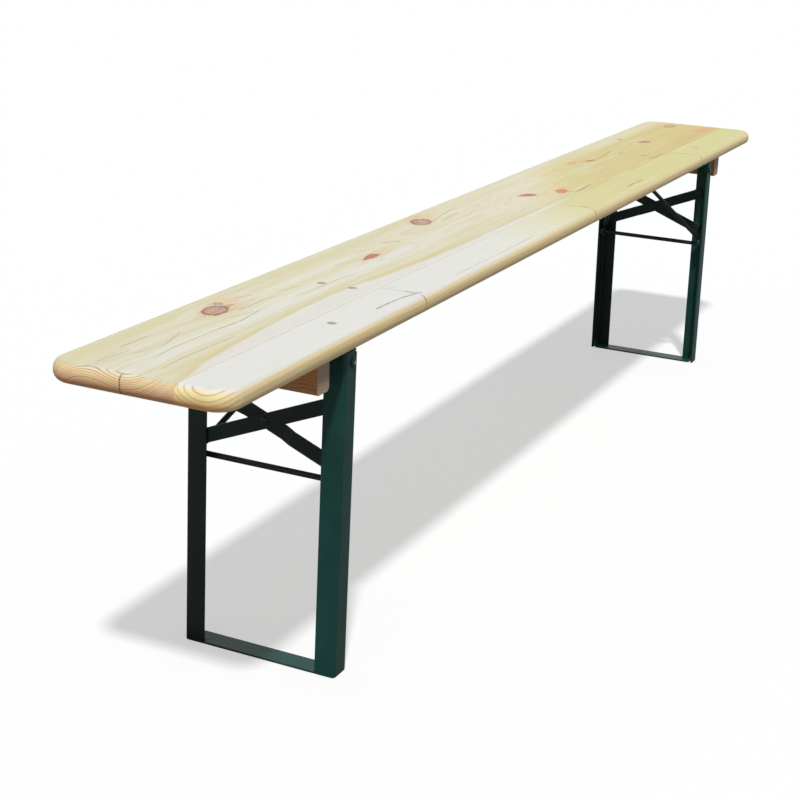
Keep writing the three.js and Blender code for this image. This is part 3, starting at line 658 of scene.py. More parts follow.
    def paint_knots(self, color):
        """Lays the knots over the wood: warm halos with streaks, then cores, then dark outlines."""
        if not self.cores:
            return color
        warm = self.times(self.warmth, self.span(self.dash, 0.25, 0.7, 0.45, 1.0))
        color = self.mix(warm, color, KNOT_HALO)
        color = self.mix(self.times(self.spray, self.span(self.dash, 0.56, 0.64)), color, KNOT_SPRAY)
        fray = self.times(self.minus(self.fibre, 0.5), 0.5)
        broken = self.span(self.dash, 0.2, 0.5, 0.55, 1.0)
        dark_speck = self.span(self.specks, 0.52, 0.66, 0.0, 0.65)
        light_speck = self.fall(self.specks, 0.30, 0.42, 0.35)
        for kind, radius in self.cores.items():
            inside, rim, outline, _ = KNOT_COLORS[kind]
            rough = self.add(radius, fray)
            if kind == "smear":
                color = self.mix(self.fall(rough, 0.2, 1.25, 0.75), color, inside)
                continue
            core = self.fall(rough, 0.86, 1.06)
            rings = self.math("FRACT", self.times(rough, 4.6))
            core_color = self.mix(self.span(rings, 0.35, 0.95, 0.0, 0.4), inside, rim)
            core_color = self.mix(dark_speck, core_color, rim)
            core_color = self.mix(light_speck, core_color, KNOT_FLECK)
            color = self.mix(core, color, core_color)
            edge = self.pulse(rough, 0.76, 0.95, 0.98, 1.14)
            color = self.mix(self.times(self.times(edge, broken), outline), color, rim)
        return color

    def line_mask(self, start, end, half_width):
        """One along a straight line between two points, falling to zero past its half width."""
        run = Vector((end[0] - start[0], end[1] - start[1]))
        from_x = self.minus(self.x_wavy, float(start[0]))
        from_y = self.minus(self.y_wavy, float(start[1]))
        along = self.times(from_x, run.x / run.length_squared)
        along = self.times_plus(from_y, run.y / run.length_squared, along)
        along = self.math("MINIMUM", self.math("MAXIMUM", along, 0.0), 1.0)
        off_x = self.times_plus(along, -run.x, from_x)
        off_y = self.times_plus(along, -run.y, from_y)
        return self.fall(self.length(off_x, off_y), 0.2 * half_width, 1.1 * half_width)

    def paint_lines(self, color):
        """Lays the cracks and resin lines over the wood, and gives back how deep the cracks go."""
        broken = self.noise_at((self.x_wavy, self.y_wavy), (0.09, 0.3))
        broken = self.span(broken, 0.32, 0.5, 0.35, 1.0)
        on_top = self.span(self.z, 462.0, 468.0)
        crack_depth = None
        for kind, (tone, strength, lines) in STREAKS.items():
            drawn = None
            for points, half_width in lines:
                for start, end in zip(points, points[1:]):
                    if self.holds((start[0] + end[0]) / 2, (start[1] + end[1]) / 2):
                        mask = self.line_mask(start, end, half_width)
                        drawn = mask if drawn is None else self.math("MAXIMUM", drawn, mask)
            if drawn is None:
                continue
            drawn = self.times(self.times(drawn, on_top), broken)
            color = self.mix(self.times(drawn, strength), color, tone)
            if kind == "crack":
                crack_depth = drawn
        return color, crack_depth

    def paint_seams(self, color):
        """The dark joints where one length of the strip meets the next."""
        for joint in STRIP_JOINTS:
            joint_x = joint / MM
            if min(abs(joint_x - self.low.x), abs(joint_x - self.high.x)) < 1:
                off = self.math("ABSOLUTE", self.minus(self.x, joint_x))
                depth_share = self.curve(self.z, 443, 470, SEAM_SHARES)
                color = self.mix(self.times(self.fall(off, 0.4, 1.8), depth_share), color, SEAM)
        return color

    def paint_end_crack(self, color):
        """A short drying crack in the near end of the plank."""
        crack = self.fall(self.math("ABSOLUTE", self.minus(self.y_wavy, 17.0)), 0.4, 1.5)
        crack = self.times(crack, self.fall(self.x, -1096.0, -1089.0))
        return self.mix(self.times(crack, 0.7), color, END_CRACK)


def batten_wood():
    """Sawn softwood, darker than the seat, with tight rings across its end grain, which is painted pale low
    down as painted light and darker higher up as painted shade.
    """
    graph = Graph("batten_pine")
    x, y, z = graph.millimetres()
    wave = graph.minus(graph.noise_at((x, y), (0.2, 0.012), seed=3.0), 0.5)
    from_x = graph.times_plus(wave, 6.0, graph.minus(graph.math("ABSOLUTE", x), BATTEN_PITH_X))
    from_z = graph.times_plus(wave, 3.0, graph.minus(z, BATTEN_PITH_Z))
    share = graph.math("FRACT", graph.math("DIVIDE", graph.length(from_x, from_z), BATTEN_RING))
    band = graph.pulse(share, 0.4, 0.85, 0.92, 1.0)
    fibre = graph.noise_at((x, y, z), (1.1, 0.03, 1.1), 3.0, 0.6)
    grain = graph.noise_at((x, y, z), 0.75, 2.0, 0.7)
    _, along, _ = graph.facing()
    end_grain = graph.span(graph.math("ABSOLUTE", along), 0.5, 0.8)
    ground = graph.mix(graph.span(fibre, 0.3, 0.7), rgb(166, 112, 70), rgb(192, 140, 94))
    color = graph.mix(graph.times(band, 0.45), ground, rgb(130, 78, 46))
    # Painted light and shade on the end grain: pale and sunlit low down, darker in the seat's shadow higher
    # up
    end_color = graph.mix(graph.span(z, 410.0, 424.0), rgb(244, 222, 190), rgb(176, 154, 136))
    end_color = graph.mix(graph.times(band, 0.35), end_color, rgb(150, 118, 90))
    end_color = graph.mix(graph.span(grain, 0.50, 0.58, 0.0, 0.75), end_color, rgb(112, 86, 64))
    color = graph.mix(end_grain, color, end_color)
    graph.set(Base_Color=color, Roughness=0.7, Specular_IOR_Level=0.3)
    graph.bump(graph.times_plus(band, 0.3, fibre), 0.3 * MM, 0.4)
    return graph.material


def painted_steel(name, dark, light):
    """Dark green paint, a little orange-peeled, worn through on the edges and lightly scuffed."""
    graph = Graph(name)
    point = graph.millimetres()
    peel = graph.noise_at(point, 0.7, 2.0, 0.6)
    patch = graph.noise_at(point, 0.014, 4.0, 0.6)
    fine = graph.noise_at(point, 0.22, 4.0, 0.7)
    scratch = graph.noise_at(point, (0.5, 0.5, 0.035), 2.0, 0.5)
    worn = graph.times(graph.edge_share(), graph.span(fine, 0.54, 0.66))
    scuff = graph.times(graph.span(scratch, 0.68, 0.73), graph.span(patch, 0.48, 0.62))
    color = graph.mix(graph.span(patch, 0.3, 0.7), dark, light)
    color = graph.mix(graph.times(scuff, 0.4), color, SCUFFED_PAINT)
    color = graph.mix(graph.times(worn, 0.4), color, WORN_PAINT)
    graph.set(Base_Color=color, Specular_IOR_Level=0.22)
    graph.set(Roughness=graph.times_plus(scuff, 0.2, graph.span(patch, 0.25, 0.75, 0.36, 0.46)))
    graph.bump(graph.times_plus(fine, 1.2, peel), 0.12 * MM, 0.45)
    return graph.material


def bare_steel(name, light, dark, smooth, rough, metal=0.9):
    """Plated or tempered steel with a fine mottled surface."""
    graph = Graph(name)
    point = graph.millimetres()
    spangle = graph.noise_at(point, 0.3, 3.0, 0.6)
    fine = graph.noise_at(point, 1.4, 2.0, 0.6)
    color = graph.mix(graph.span(spangle, 0.3, 0.7), dark, light)
    graph.set(Base_Color=color, Metallic=metal)
    graph.set(Roughness=graph.span(spangle, 0.3, 0.7, smooth, rough))
    graph.bump(graph.times_plus(fine, 0.4, spangle), 0.06 * MM, 0.4)
    return graph.material


def worn_rivet():
    """A painted rivet whose dome is rubbed bright in the middle."""
    graph = Graph("rubbed_rivet")
    fine = graph.noise_at(graph.millimetres(), 0.5, 3.0, 0.7)
    rubbed = graph.times(graph.edge_share(), graph.span(fine, 0.36, 0.56))
    color = graph.mix(rubbed, rgb(19, 62, 55), rgb(176, 182, 184))
    graph.set(Base_Color=color, Metallic=graph.times(rubbed, 0.9))
    graph.set(Roughness=graph.times_plus(rubbed, -0.1, 0.42), Specular_IOR_Level=0.22)
    graph.bump(fine, 0.1 * MM, 0.4)
    return graph.material


# Mesh helpers

def to_object(name, mesh, *materials):
    """A bmesh becomes an object of the scene, and is freed."""
    data = bpy.data.meshes.new(name)
    mesh.to_mesh(data)
    mesh.free()
    for material in materials:
        data.materials.append(material)
    made = bpy.data.objects.new(name, data)
    bpy.context.scene.collection.objects.link(made)
    return made


def new_piece(name, mesh, material, body, replaced=(), sharp=38.0):
    """A bmesh becomes a smooth piece that rides on a body and stands for its CAD nodes."""
    bmesh.ops.recalc_face_normals(mesh, faces=mesh.faces)
    for face in mesh.faces:
        face.smooth = True
    piece = to_object(name, mesh, material)
    piece.data.set_sharp_from_angle(angle=math.radians(sharp))
    even = piece.modifiers.new("even normals", "WEIGHTED_NORMAL")
    even.keep_sharp = True
    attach(piece, body)
    if replaced:
        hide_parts(*replaced)
    return piece


def cut_out(piece, cutter_mesh, own_overlaps=False):
    """The mesh that a piece has once closed shapes are cut out of it."""
    bmesh.ops.recalc_face_normals(cutter_mesh, faces=cutter_mesh.faces)
    cutter = to_object("cutter", cutter_mesh)
    cut = piece.modifiers.new("cut", "BOOLEAN")
    cut.operation = "DIFFERENCE"
    cut.solver = "EXACT"
    cut.use_self = own_overlaps
    cut.object = cutter
    # The cut comes before the even normals
    piece.modifiers.move(len(piece.modifiers) - 1, 0)
    bpy.context.view_layer.update()
    finished = bpy.data.meshes.new_from_object(piece.evaluated_get(bpy.context.evaluated_depsgraph_get()))
    bpy.data.objects.remove(cutter)
    return finished


def refined(node, material, body, bevel=0.6 * MM, segments=2):
    """A CAD piece with its flat faces merged and its sharp edges rounded, for the finish to catch."""
    mesh = bmesh.new()
    mesh.from_mesh(frame["nodes"][node].data)
    bmesh.ops.remove_doubles(mesh, verts=mesh.verts, dist=0.002 * MM)
    bmesh.ops.dissolve_limit(mesh, angle_limit=math.radians(1), verts=mesh.verts, edges=mesh.edges)
    layer = mesh.faces.layers.float.new("edge")
    sharp = [edge for edge in mesh.edges
             if len(edge.link_faces) == 2 and edge.calc_face_angle(0) > math.radians(40)]
    rounded = bmesh.ops.bevel(
        mesh, geom=sharp, offset=bevel, segments=segments, profile=0.6, affect="EDGES", clamp_overlap=True)
    for face in rounded["faces"]:
        face[layer] = 1.0
    return new_piece(f"dressed_{node}", mesh, material, body, [node], sharp=50.0)


def ring_bridge(mesh, first, second):
    """Four-sided faces between two rings of as many points."""
    for index in range(len(first)):
        following = (index + 1) % len(first)
        mesh.faces.new((first[index], first[following], second[following], second[index]))


def circle(radius, sides):
    """Points of a circle as pairs, anticlockwise from its first axis."""
    return [(radius * math.cos(math.tau * side / sides), radius * math.sin(math.tau * side / sides))
            for side in range(sides)]


def lathe(mesh, profile, place, sides=40, rubbed_within=None):
    """Turns a profile of (radius, height) about its own Z, then puts it at a place given by a matrix.

    Faces nearer the axis than rubbed_within are marked as worn.
    """
    layer = mesh.faces.layers.float.get("edge") or mesh.faces.layers.float.new("edge")
    rings = []
    for radius, height in profile:
        flat = circle(radius, sides) if radius > 1e-9 else [(0, 0)]
        rings.append([mesh.verts.new(place @ Vector((x, y, height))) for x, y in flat])
    radii = [radius for radius, _ in profile]
    for low, high, low_radius, high_radius in zip(rings, rings[1:], radii, radii[1:]):
        before = len(mesh.faces)
        if len(low) == 1:
            for side in range(sides):
                mesh.faces.new((low[0], high[(side + 1) % sides], high[side]))
        elif len(high) == 1:
            for side in range(sides):
                mesh.faces.new((low[side], low[(side + 1) % sides], high[0]))
        else:
            ring_bridge(mesh, low, high)
        if rubbed_within is not None and max(low_radius, high_radius) < rubbed_within:
            mesh.faces.ensure_lookup_table()
            for index in range(before, len(mesh.faces)):
                mesh.faces[index][layer] = 1.0


def dome(radius, height, base, steps=8, upward=True):
    """Points of a domed head from its rim to its crown, or from crown to rim when it points down."""
    points = []
    for step in range(steps + 1):
        angle = math.pi / 2 * step / steps
        rise = height * math.sin(angle)
        points.append((radius * math.cos(angle) if step < steps else 0.0, base + (rise if upward else -rise)))
    return points if upward else points[::-1]


def rivet_profile(low, high, radius, height, shank_radius, crown=None):
    """A rivet from the crown of one domed head at low to the crown of the other at high.

    Where a crown is given, the head at high has a straight rim under a dome of that height.
    """
    profile = dome(radius, height, low + height, upward=False)
    profile += [(shank_radius, low + height), (shank_radius, high - height)]
    if crown is None:
        return profile + dome(radius, height, high - height)
    return profile + [(radius, high - height)] + dome(radius, crown, high - crown)


def tube(mesh, points, radii, sides=20):
    """A closed round bar through points, with a radius at each."""
    rings = []
    side_axis = None
    for index, here in enumerate(points):
        ahead = points[min(index + 1, len(points) - 1)] - points[max(index - 1, 0)]
        ahead.normalize()
        if side_axis is None:
            side_axis = ahead.orthogonal().normalized()
        side_axis = (side_axis - ahead * side_axis.dot(ahead)).normalized()
        other = ahead.cross(side_axis)
        rings.append([mesh.verts.new(here + side_axis * x + other * y)
                      for x, y in circle(radii[index], sides)])
    for first, second in zip(rings, rings[1:]):
        ring_bridge(mesh, first, second)
    mesh.faces.new(rings[0])
    mesh.faces.new(rings[-1])


def fillet(points, radius, steps):
    """A flat line with its inner corners turned into arcs."""
    line = [points[0]]
    for before, here, after in zip(points, points[1:], points[2:]):
        back = (before - here).normalized()
        ahead = (after - here).normalized()
        half = math.acos(max(-1.0, min(1.0, back.dot(ahead)))) / 2
        start = here + back * radius / math.tan(half)
        centre_of_arc = here + (back + ahead).normalized() * radius / math.sin(half)
        end = here + ahead * radius / math.tan(half)
        for step in range(steps + 1):
            spoke = (start - centre_of_arc).slerp(end - centre_of_arc, step / steps).normalized()
            line.append(centre_of_arc + spoke * radius)
    line.append(points[-1])
    return line


def centre(node):
    low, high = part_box(node)
    return (low + high) / 2


def along_y(x, z):
    """A place on the bench at x and z for a turned piece whose own Z lies along +Y."""
    return Matrix.Translation((x, 0, z)) @ Matrix.Rotation(-math.pi / 2, 4, "X")


# Seat

def plank_outline(inset, steps=14):
    """The seat's rounded outline, pulled in by inset, as points anticlockwise from above."""
    radius = CORNER_RADIUS - inset
    half_x = SEAT_HIGH.x - CORNER_RADIUS
    half_y = SEAT_HIGH.y - CORNER_RADIUS
    points = []
    for quarter, (sign_x, sign_y) in enumerate(((1, 1), (-1, 1), (-1, -1), (1, -1))):
        for step in range(steps + 1):
            angle = math.pi / 2 * (quarter + step / steps)
            points.append((
                sign_x * half_x + radius * math.cos(angle), sign_y * half_y + radius * math.sin(angle)))
    return points


def build_board(steps=9):
    """The whole rounded board as a closed bmesh: rings of the outline from the underside to the top."""
    flat_inset = EDGE_RADIUS + 2 * MM
    quarter = [(EDGE_RADIUS * (1 - math.sin(math.pi / 2 * step / steps)),
                EDGE_RADIUS * (1 - math.cos(math.pi / 2 * step / steps))) for step in range(steps + 1)]
    rings = [(flat_inset, SEAT_LOW.z)]
    rings += [(inset, SEAT_LOW.z + rise) for inset, rise in quarter]
    rings += [(inset, SEAT_HIGH.z - drop) for inset, drop in reversed(quarter)]
    rings.append((flat_inset, SEAT_HIGH.z))
    mesh = bmesh.new()
    loops = [[mesh.verts.new((*point, height)) for point in plank_outline(inset)] for inset, height in rings]
    for low, high in zip(loops, loops[1:]):
        ring_bridge(mesh, low, high)
    mesh.faces.new(list(reversed(loops[0])))
    mesh.faces.new(loops[-1])
    return mesh


def cut_away(mesh, plane, outward):
    """Cuts the mesh at a plane, drops what lies outward and closes the cut."""
    everything = list(mesh.verts) + list(mesh.edges) + list(mesh.faces)
    bmesh.ops.bisect_plane(mesh, geom=everything, plane_co=plane, plane_no=outward, clear_outer=True)
    bmesh.ops.holes_fill(mesh, edges=[edge for edge in mesh.edges if edge.is_boundary])


def ease_cuts(mesh, planes):
    """Rounds the sharp rim that each cut has left."""
    rims = []
    for edge in mesh.edges:
        on_cut = any(all(abs((vert.co - plane).dot(outward)) < 1e-6 for vert in edge.verts)
                     for plane, outward in planes)
        if on_cut and edge.calc_face_angle(0) > math.radians(40):
            rims.append(edge)
    bmesh.ops.bevel(mesh, geom=rims, offset=JOINT_ARRIS, segments=2, affect="EDGES", clamp_overlap=True)


def sink_recesses(piece, places):
    """Sinks the round recess of each rivet head into a seat piece."""
    tall = RECESS_DEPTH + 4 * MM
    profile = [(0, 0), (RECESS_RADIUS, 0), (RECESS_RADIUS, tall), (0, tall)]
    cutter = bmesh.new()
    for place in places:
        lathe(cutter, profile, Matrix.Translation((place.x, place.y, SEAT_HIGH.z - RECESS_DEPTH)))
    finished = cut_out(piece, cutter)
    piece.modifiers.clear()
    old = piece.data
    piece.data = finished
    bpy.data.meshes.remove(old)


def seat_piece(node, material):
    """The plank or one length of the strip, cut from the board where its CAD piece ends."""
    low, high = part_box(node)
    plank_side = -1 if node == "seat_plank" else 1
    planes = [(Vector((0, PLANK_JOINT, 0)), Vector((0, plank_side, 0)))]
    if low.x > SEAT_LOW.x + MM:
        planes.append((Vector((low.x, 0, 0)), Vector((-1, 0, 0))))
    if high.x < SEAT_HIGH.x - MM:
        planes.append((Vector((high.x, 0, 0)), Vector((1, 0, 0))))
    mesh = build_board()
    for plane, outward in planes:
        cut_away(mesh, plane, outward)
    ease_cuts(mesh, planes)
    piece = new_piece(f"dressed_{node}", mesh, material, "root", [node])
    places = [centre(name) for name in SEAT_RIVETS]
    inside = [place for place in places if low.x < place.x < high.x and low.y < place.y < high.y]
    if inside:
        sink_recesses(piece, inside)


# Steel pieces

def end_turn(end):
    """The left end as it is drawn, and the right end as the same turned half way round."""
    return Matrix.Identity(4) if end == "left" else Matrix.Rotation(math.pi, 4, "Z")


def hinge_frame(end):
    """From a leg frame's own axes, hinge at the origin and legs straight down, to the bench."""
    hinge = next(joint for joint in frame["joints"] if joint["name"] == "left_leg_fold")["pos_m"]
    return end_turn(end) @ Matrix.Translation(hinge) @ Matrix.Rotation(LEAN, 4, "Y")


def seat_rivet(node, material):
    """A rivet through the seat: head up in its recess, shank, and a domed tail below."""
    low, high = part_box(node)
    middle = centre(node)
    mesh = bmesh.new()
    profile = rivet_profile(
        low.z, high.z, SEAT_HEAD_RADIUS, SEAT_HEAD_HEIGHT, SEAT_SHANK_RADIUS, SEAT_CROWN_HEIGHT)
    lathe(mesh, profile, Matrix.Translation((middle.x, middle.y, 0)))
    new_piece(f"dressed_{node}", mesh, material, "root", [node])


def hinge_rivet(node, material):
    """A hinge rivet along Y, its domes rubbed bright."""
    low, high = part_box(node)
    middle = centre(node)
    head_radius = (high.x - low.x) / 2
    mesh = bmesh.new()
    profile = rivet_profile(low.y, high.y, head_radius, HINGE_HEAD_HEIGHT, HINGE_SHANK_RADIUS)
    lathe(mesh, profile, along_y(middle.x, middle.z), rubbed_within=HINGE_RUBBED_SHARE * head_radius)
    new_piece(f"dressed_{node}", mesh, material, "root", [node])


def brace_rivet(end, material):
    """The rivet where the braces cross, square to them."""
    node = f"{end}_brace_rivet"
    place = hinge_frame(end) @ Matrix.Translation((ANGLE_THICKNESS - PIVOT_SETBACK, 0, -BRACE_CROSS_DROP))
    place = place @ Matrix.Rotation(math.pi / 2, 4, "Y")
    mesh = bmesh.new()
    profile = rivet_profile(-BRACE_HEAD_HEIGHT, BRACE_GRIP + BRACE_HEAD_HEIGHT, BRACE_HEAD_RADIUS,
                            BRACE_HEAD_HEIGHT, BRACE_SHANK_RADIUS)
    lathe(mesh, profile, place)
    new_piece(f"dressed_{node}", mesh, material, f"{end}_leg", [node])


def rod(end, material):
    """The thin rod across a leg frame, on which the bow's eyes turn."""
    node = f"{end}_strut_rod"
    low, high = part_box(node)
    middle = centre(node)
    narrow = BAR_RADIUS - ROD_EDGE
    profile = [(0, low.y), (narrow, low.y), (BAR_RADIUS, low.y + ROD_EDGE),
               (BAR_RADIUS, high.y - ROD_EDGE), (narrow, high.y), (0, high.y)]
    mesh = bmesh.new()
    lathe(mesh, profile, along_y(middle.x, middle.z), 32)
    new_piece(f"dressed_{node}", mesh, material, f"{end}_leg", [node])


def bow(end, material):
    """The bow: a bent round bar whose ends curl into eyes that turn on the rod."""
    node = f"{end}_bow"
    left_rod = centre("left_strut_rod")
    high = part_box("left_bow")[1]
    reach = high.x - BAR_RADIUS - left_rod.x
    rise = high.z - BAR_RADIUS - left_rod.z
    length = math.hypot(reach, rise)
    place = end_turn(end) @ Matrix.Translation((left_rod.x, 0, left_rod.z))
    place = place @ Matrix.Rotation(-math.atan2(rise, reach), 4, "Y")
    eye_middle = high.y - EYE_WIDTH / 2
    flat = [Vector((0, eye_middle)), Vector((length, CROSSBAR_HALF)), Vector((length, -CROSSBAR_HALF)),
            Vector((0, -eye_middle))]
    line = [place @ Vector((point.x, point.y, EYE_MIDDLE * (1 - point.x / length)))
            for point in fillet(flat, BOW_BEND, 10)]
    mesh = bmesh.new()
    mesh.faces.layers.float.new("edge")
    tube(mesh, line, [BAR_RADIUS] * len(line), 24)
    around = place @ Matrix.Rotation(-math.pi / 2, 4, "X")
    section = circle(BAR_RADIUS, 20)
    for hand in (-1, 1):
        eye = [(EYE_MIDDLE + x, hand * eye_middle + y) for x, y in section + section[:1]]
        lathe(mesh, eye, around)
    bmesh.ops.remove_doubles(mesh, verts=mesh.verts, dist=0.001 * MM)
    new_piece(f"dressed_{node}", mesh, material, node, [node])


def screw_mesh(length):
    """A round-headed wood screw, head down, with a cross recess pressed into its head."""
    mesh = bmesh.new()
    profile = dome(SCREW_HEAD_RADIUS, SCREW_HEAD_HEIGHT, 0, 10, upward=False)
    profile += [(SCREW_RADIUS, 0), (SCREW_RADIUS, length - SCREW_POINT), (0, length)]
    lathe(mesh, profile, Matrix.Identity(4), 32)
    bmesh.ops.recalc_face_normals(mesh, faces=mesh.faces)
    blank = to_object("screw_blank", mesh)
    mouth_z = -SCREW_HEAD_HEIGHT - MM
    floor_z = CROSS_DEPTH - SCREW_HEAD_HEIGHT
    blade = [(0, mouth_z), (CROSS_MOUTH, mouth_z), (CROSS_FLOOR, floor_z), (0, floor_z)]
    cutter = bmesh.new()
    for turn in (0, math.pi / 2):
        slot = Matrix.Rotation(turn, 4, "Z") @ Matrix.Diagonal((CROSS_STRETCH, CROSS_SQUEEZE, 1, 1))
        lathe(cutter, blade, slot, 4)
    finished = cut_out(blank, cutter, own_overlaps=True)
    bpy.data.objects.remove(blank)
    return finished


def screws(material):
    """Every screw, its head seated where the CAD screw's is and its recess turned its own way."""
    blanks = {}
    chance = random.Random(11)
    for node in sorted(frame["nodes"]):
        if "_screw_" not in node:
            continue
        low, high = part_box(node)
        length = round((high.z - low.z - SCREW_HEAD_HEIGHT) / MM) * MM
        if length not in blanks:
            blanks[length] = screw_mesh(length)
        mesh = bmesh.new()
        mesh.from_mesh(blanks[length])
        middle = centre(node)
        turn = Matrix.Rotation(chance.uniform(0, math.pi), 4, "Z")
        mesh.transform(Matrix.Translation((middle.x, middle.y, low.z + SCREW_HEAD_HEIGHT)) @ turn)
        new_piece(f"dressed_{node}", mesh, material, "root", [node])


def bead(mesh, points, radius, chance):
    """A weld bead along points: a lumpy bar with the ripples of its pools, thinner at its ends."""
    length = sum((after - before).length for before, after in zip(points, points[1:]))
    steps = max(6, round(length / RIPPLE_STEP))
    line = []
    radii = []
    for step in range(steps + 1):
        want = length * step / steps
        for before, after in zip(points, points[1:]):
            run = (after - before).length
            if want <= run + 1e-9:
                line.append(before.lerp(after, min(1.0, want / run)))
                break
            want -= run
        ripple = 0.5 + 0.5 * math.sin(math.tau * step / STEPS_PER_RIPPLE)
        thinning = min(1.0, 0.45 + 0.45 * min(step, steps - step))
        radii.append(radius * thinning * (0.82 + 0.2 * ripple + chance.uniform(-0.06, 0.06)))
    tube(mesh, line, radii, 10)


def welds(end, material):
    """Beads that join the braces, the rod and the floor bar to the uprights."""
    leg = hinge_frame(end)
    chance = random.Random(end)
    mesh = bmesh.new()
    mesh.faces.layers.float.new("edge")
    toe = SIDE_INNER + ANGLE_THICKNESS - ANGLE_WIDTH
    tilt = math.atan2(BRACE_LOW_DROP - BRACE_HIGH_DROP, 2 * toe)
    half = (toe + BRACE_LAP) / math.cos(tilt)
    crossing = Vector((ANGLE_THICKNESS - PIVOT_SETBACK + 0.9 * MM, 0, -BRACE_CROSS_DROP))
    # Across the tip of each brace, and along both its sides
    for rising in (-1, 1):
        along = Vector((0, math.cos(tilt), rising * math.sin(tilt)))
        across = Vector((0, -rising * math.sin(tilt), math.cos(tilt)))
        for hand in (-1, 1):
            tip = crossing + along * half * hand
            across_tip = [leg @ (tip + across * side * BRACE_WIDTH * 0.46) for side in (-1, 1)]
            bead(mesh, across_tip, BRACE_END_BEAD, chance)
            for side in (-1, 1):
                beside = [leg @ (tip - along * hand * BRACE_LAP * share + across * side * BRACE_WIDTH / 2)
                          for share in (0.92, 0.15)]
                bead(mesh, beside, BRACE_SIDE_BEAD, chance)
    # Round each end of the rod
    around = circle(BAR_RADIUS + 0.2 * MM, 12)
    for hand in (-1, 1):
        side = hand * (SIDE_INNER - 0.1 * MM)
        ring = [leg @ Vector((x, side, z - ROD_DROP)) for x, z in around + around[:1]]
        bead(mesh, ring, ROD_BEAD, chance)
    # Along the top and up the free edge of each turned-up end of the floor bar
    low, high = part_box("left_floor_bar")
    turn = end_turn(end)
    for hand in (-1, 1):
        side = hand * (SIDE_INNER - 0.8 * MM)
        top = [turn @ Vector((low.x + share * (high.x - low.x), side, FLOOR_BAR_TURN_UP))
               for share in (0.42, 0.96)]
        bead(mesh, top, FOOT_TOP_BEAD, chance)
        upright = [turn @ Vector((high.x - 0.2 * MM, side, height * MM)) for height in (4.5, 12)]
        bead(mesh, upright, FOOT_SIDE_BEAD, chance)
    new_piece(f"{end}_welds", mesh, material, f"{end}_leg")


# Stage and light

def make_stage():
    """A plain pale floor that shows white to the camera but keeps the bench's shadow."""
    graph = Graph("floor_paint")
    seen = graph.node("ShaderNodeLightPath").outputs["Is Camera Ray"]
    level = graph.times_plus(seen, FLOOR_SEEN - FLOOR_BOUNCE, FLOOR_BOUNCE)
    graph.set(Base_Color=graph.join(level, level, level), Roughness=0.95, Specular_IOR_Level=0.0)
    graph.set(Emission_Color=WHITE, Emission_Strength=graph.times(seen, FLOOR_GLOW))
    mesh = bmesh.new()
    corners = ((-1, -1), (1, -1), (1, 1), (-1, 1))
    mesh.faces.new([mesh.verts.new((x * FLOOR_HALF, y * FLOOR_HALF, 0)) for x, y in corners])
    to_object("floor", mesh, graph.material)


def make_light():
    """A soft sun, and a pale sky that shows white to the camera and in gloss."""
    data = bpy.data.lights.new("sun", "SUN")
    data.energy = SUN_STRENGTH
    data.angle = SUN_SOFTNESS
    sun = bpy.data.objects.new("sun", data)
    sun.rotation_mode = "QUATERNION"
    sun.rotation_quaternion = (-SUN_FROM).to_track_quat("-Z", "Y")
    bpy.context.scene.collection.objects.link(sun)
    world = bpy.data.worlds.new("world")
    world.use_nodes = True
    bpy.context.scene.world = world
    tree = world.node_tree
    sky = tree.nodes["Background"]
    backdrop = tree.nodes.new("ShaderNodeBackground")
    for light, color, strength in ((sky, SKY_COLOR, SKY_STRENGTH), (backdrop, WHITE, 1.0)):
        light.inputs["Color"].default_value = color
        light.inputs["Strength"].default_value = strength
    path = tree.nodes.new("ShaderNodeLightPath")
    either = tree.nodes.new("ShaderNodeMath")
    either.operation = "MAXIMUM"
    pick = tree.nodes.new("ShaderNodeMixShader")
    tree.links.new(path.outputs["Is Camera Ray"], either.inputs[0])
    tree.links.new(path.outputs["Is Glossy Ray"], either.inputs[1])
    tree.links.new(either.outputs[0], pick.inputs[0])
    tree.links.new(sky.outputs[0], pick.inputs[1])
    tree.links.new(backdrop.outputs[0], pick.inputs[2])
    tree.links.new(pick.outputs[0], tree.nodes["World Output"].inputs["Surface"])


bpy.context.scene.view_settings.view_transform = "Standard"
make_camera()
make_stage()
make_light()

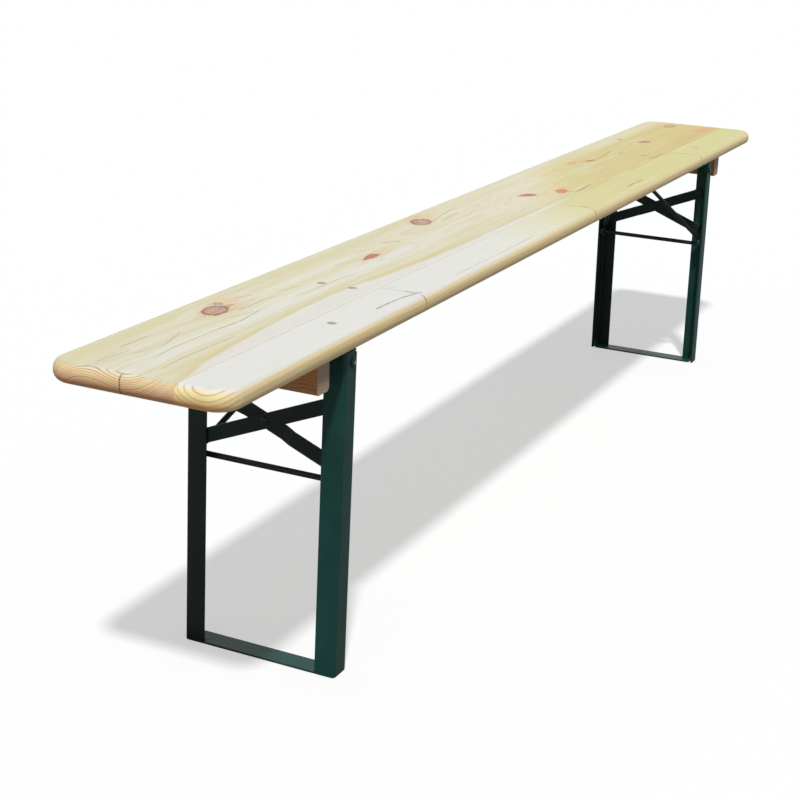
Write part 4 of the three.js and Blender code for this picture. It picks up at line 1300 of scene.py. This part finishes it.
# Seat
plank_low, plank_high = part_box("seat_plank")
seat_piece("seat_plank", SeatWood(
    "seat_pine_plank", plank_low / MM, plank_high / MM, (PLANK_RING,), PLANK_TONES, PLANK_LATEWOOD,
    STRIPE_OLIVE, 1.0, PLANK_SEED).material)
for strip, (rings, stripe, vivid, seed, tones) in zip(STRIPS, STRIP_LOOKS):
    strip_low, strip_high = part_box(strip)
    seat_piece(strip, SeatWood(
        f"seat_pine_{strip}", strip_low / MM, strip_high / MM, rings, tones, STRIP_LATEWOOD,
        stripe, vivid, seed).material)

# Steel and battens
GREEN = painted_steel("green_paint", rgb(18, 60, 54), rgb(22, 68, 62))
# A darker, greyer copy of the same green paint: painted shade for the braces, rivets, rods, bows, welds and
# rear uprights under the seat
SHADE_GREEN = painted_steel("shade_darkened_green_paint", rgb(23, 38, 36), rgb(27, 43, 40))
RUBBED = worn_rivet()
ZINC = bare_steel("zinc_plate", rgb(176, 182, 186), rgb(150, 157, 163), 0.45, 0.58, 0.6)
SPRING = bare_steel("spring_steel", rgb(120, 122, 126), rgb(92, 94, 98), 0.25, 0.38)
BATTEN = batten_wood()
for end in ENDS:
    leg_body = f"{end}_leg"
    # The rear uprights take the darker copy as painted shade
    for edge, paint in (("front", GREEN), ("rear", SHADE_GREEN)):
        refined(f"{end}_upright_{edge}", paint, leg_body, 0.8 * MM, 3)
        refined(f"{end}_hinge_bracket_{edge}", GREEN, "root", 0.5 * MM)
        hinge_rivet(f"{end}_hinge_rivet_{edge}", RUBBED)
        for kind in ("bracket", "catch"):
            seat_rivet(f"{end}_{kind}_rivet_{edge}", ZINC)
    refined(f"{end}_cross_brace_straight", SHADE_GREEN, leg_body)
    refined(f"{end}_cross_brace_joggled", SHADE_GREEN, leg_body)
    refined(f"{end}_floor_bar", GREEN, leg_body)
    refined(f"{end}_catch_hook", ZINC, "root", 0.4 * MM)
    refined(f"{end}_catch_spring", SPRING, "root", 0.25 * MM)
    refined(f"{end}_batten", BATTEN, "root", 1.2 * MM, 3)
    brace_rivet(end, SHADE_GREEN)
    rod(end, SHADE_GREEN)
    bow(end, SHADE_GREEN)
    welds(end, SHADE_GREEN)
screws(ZINC)
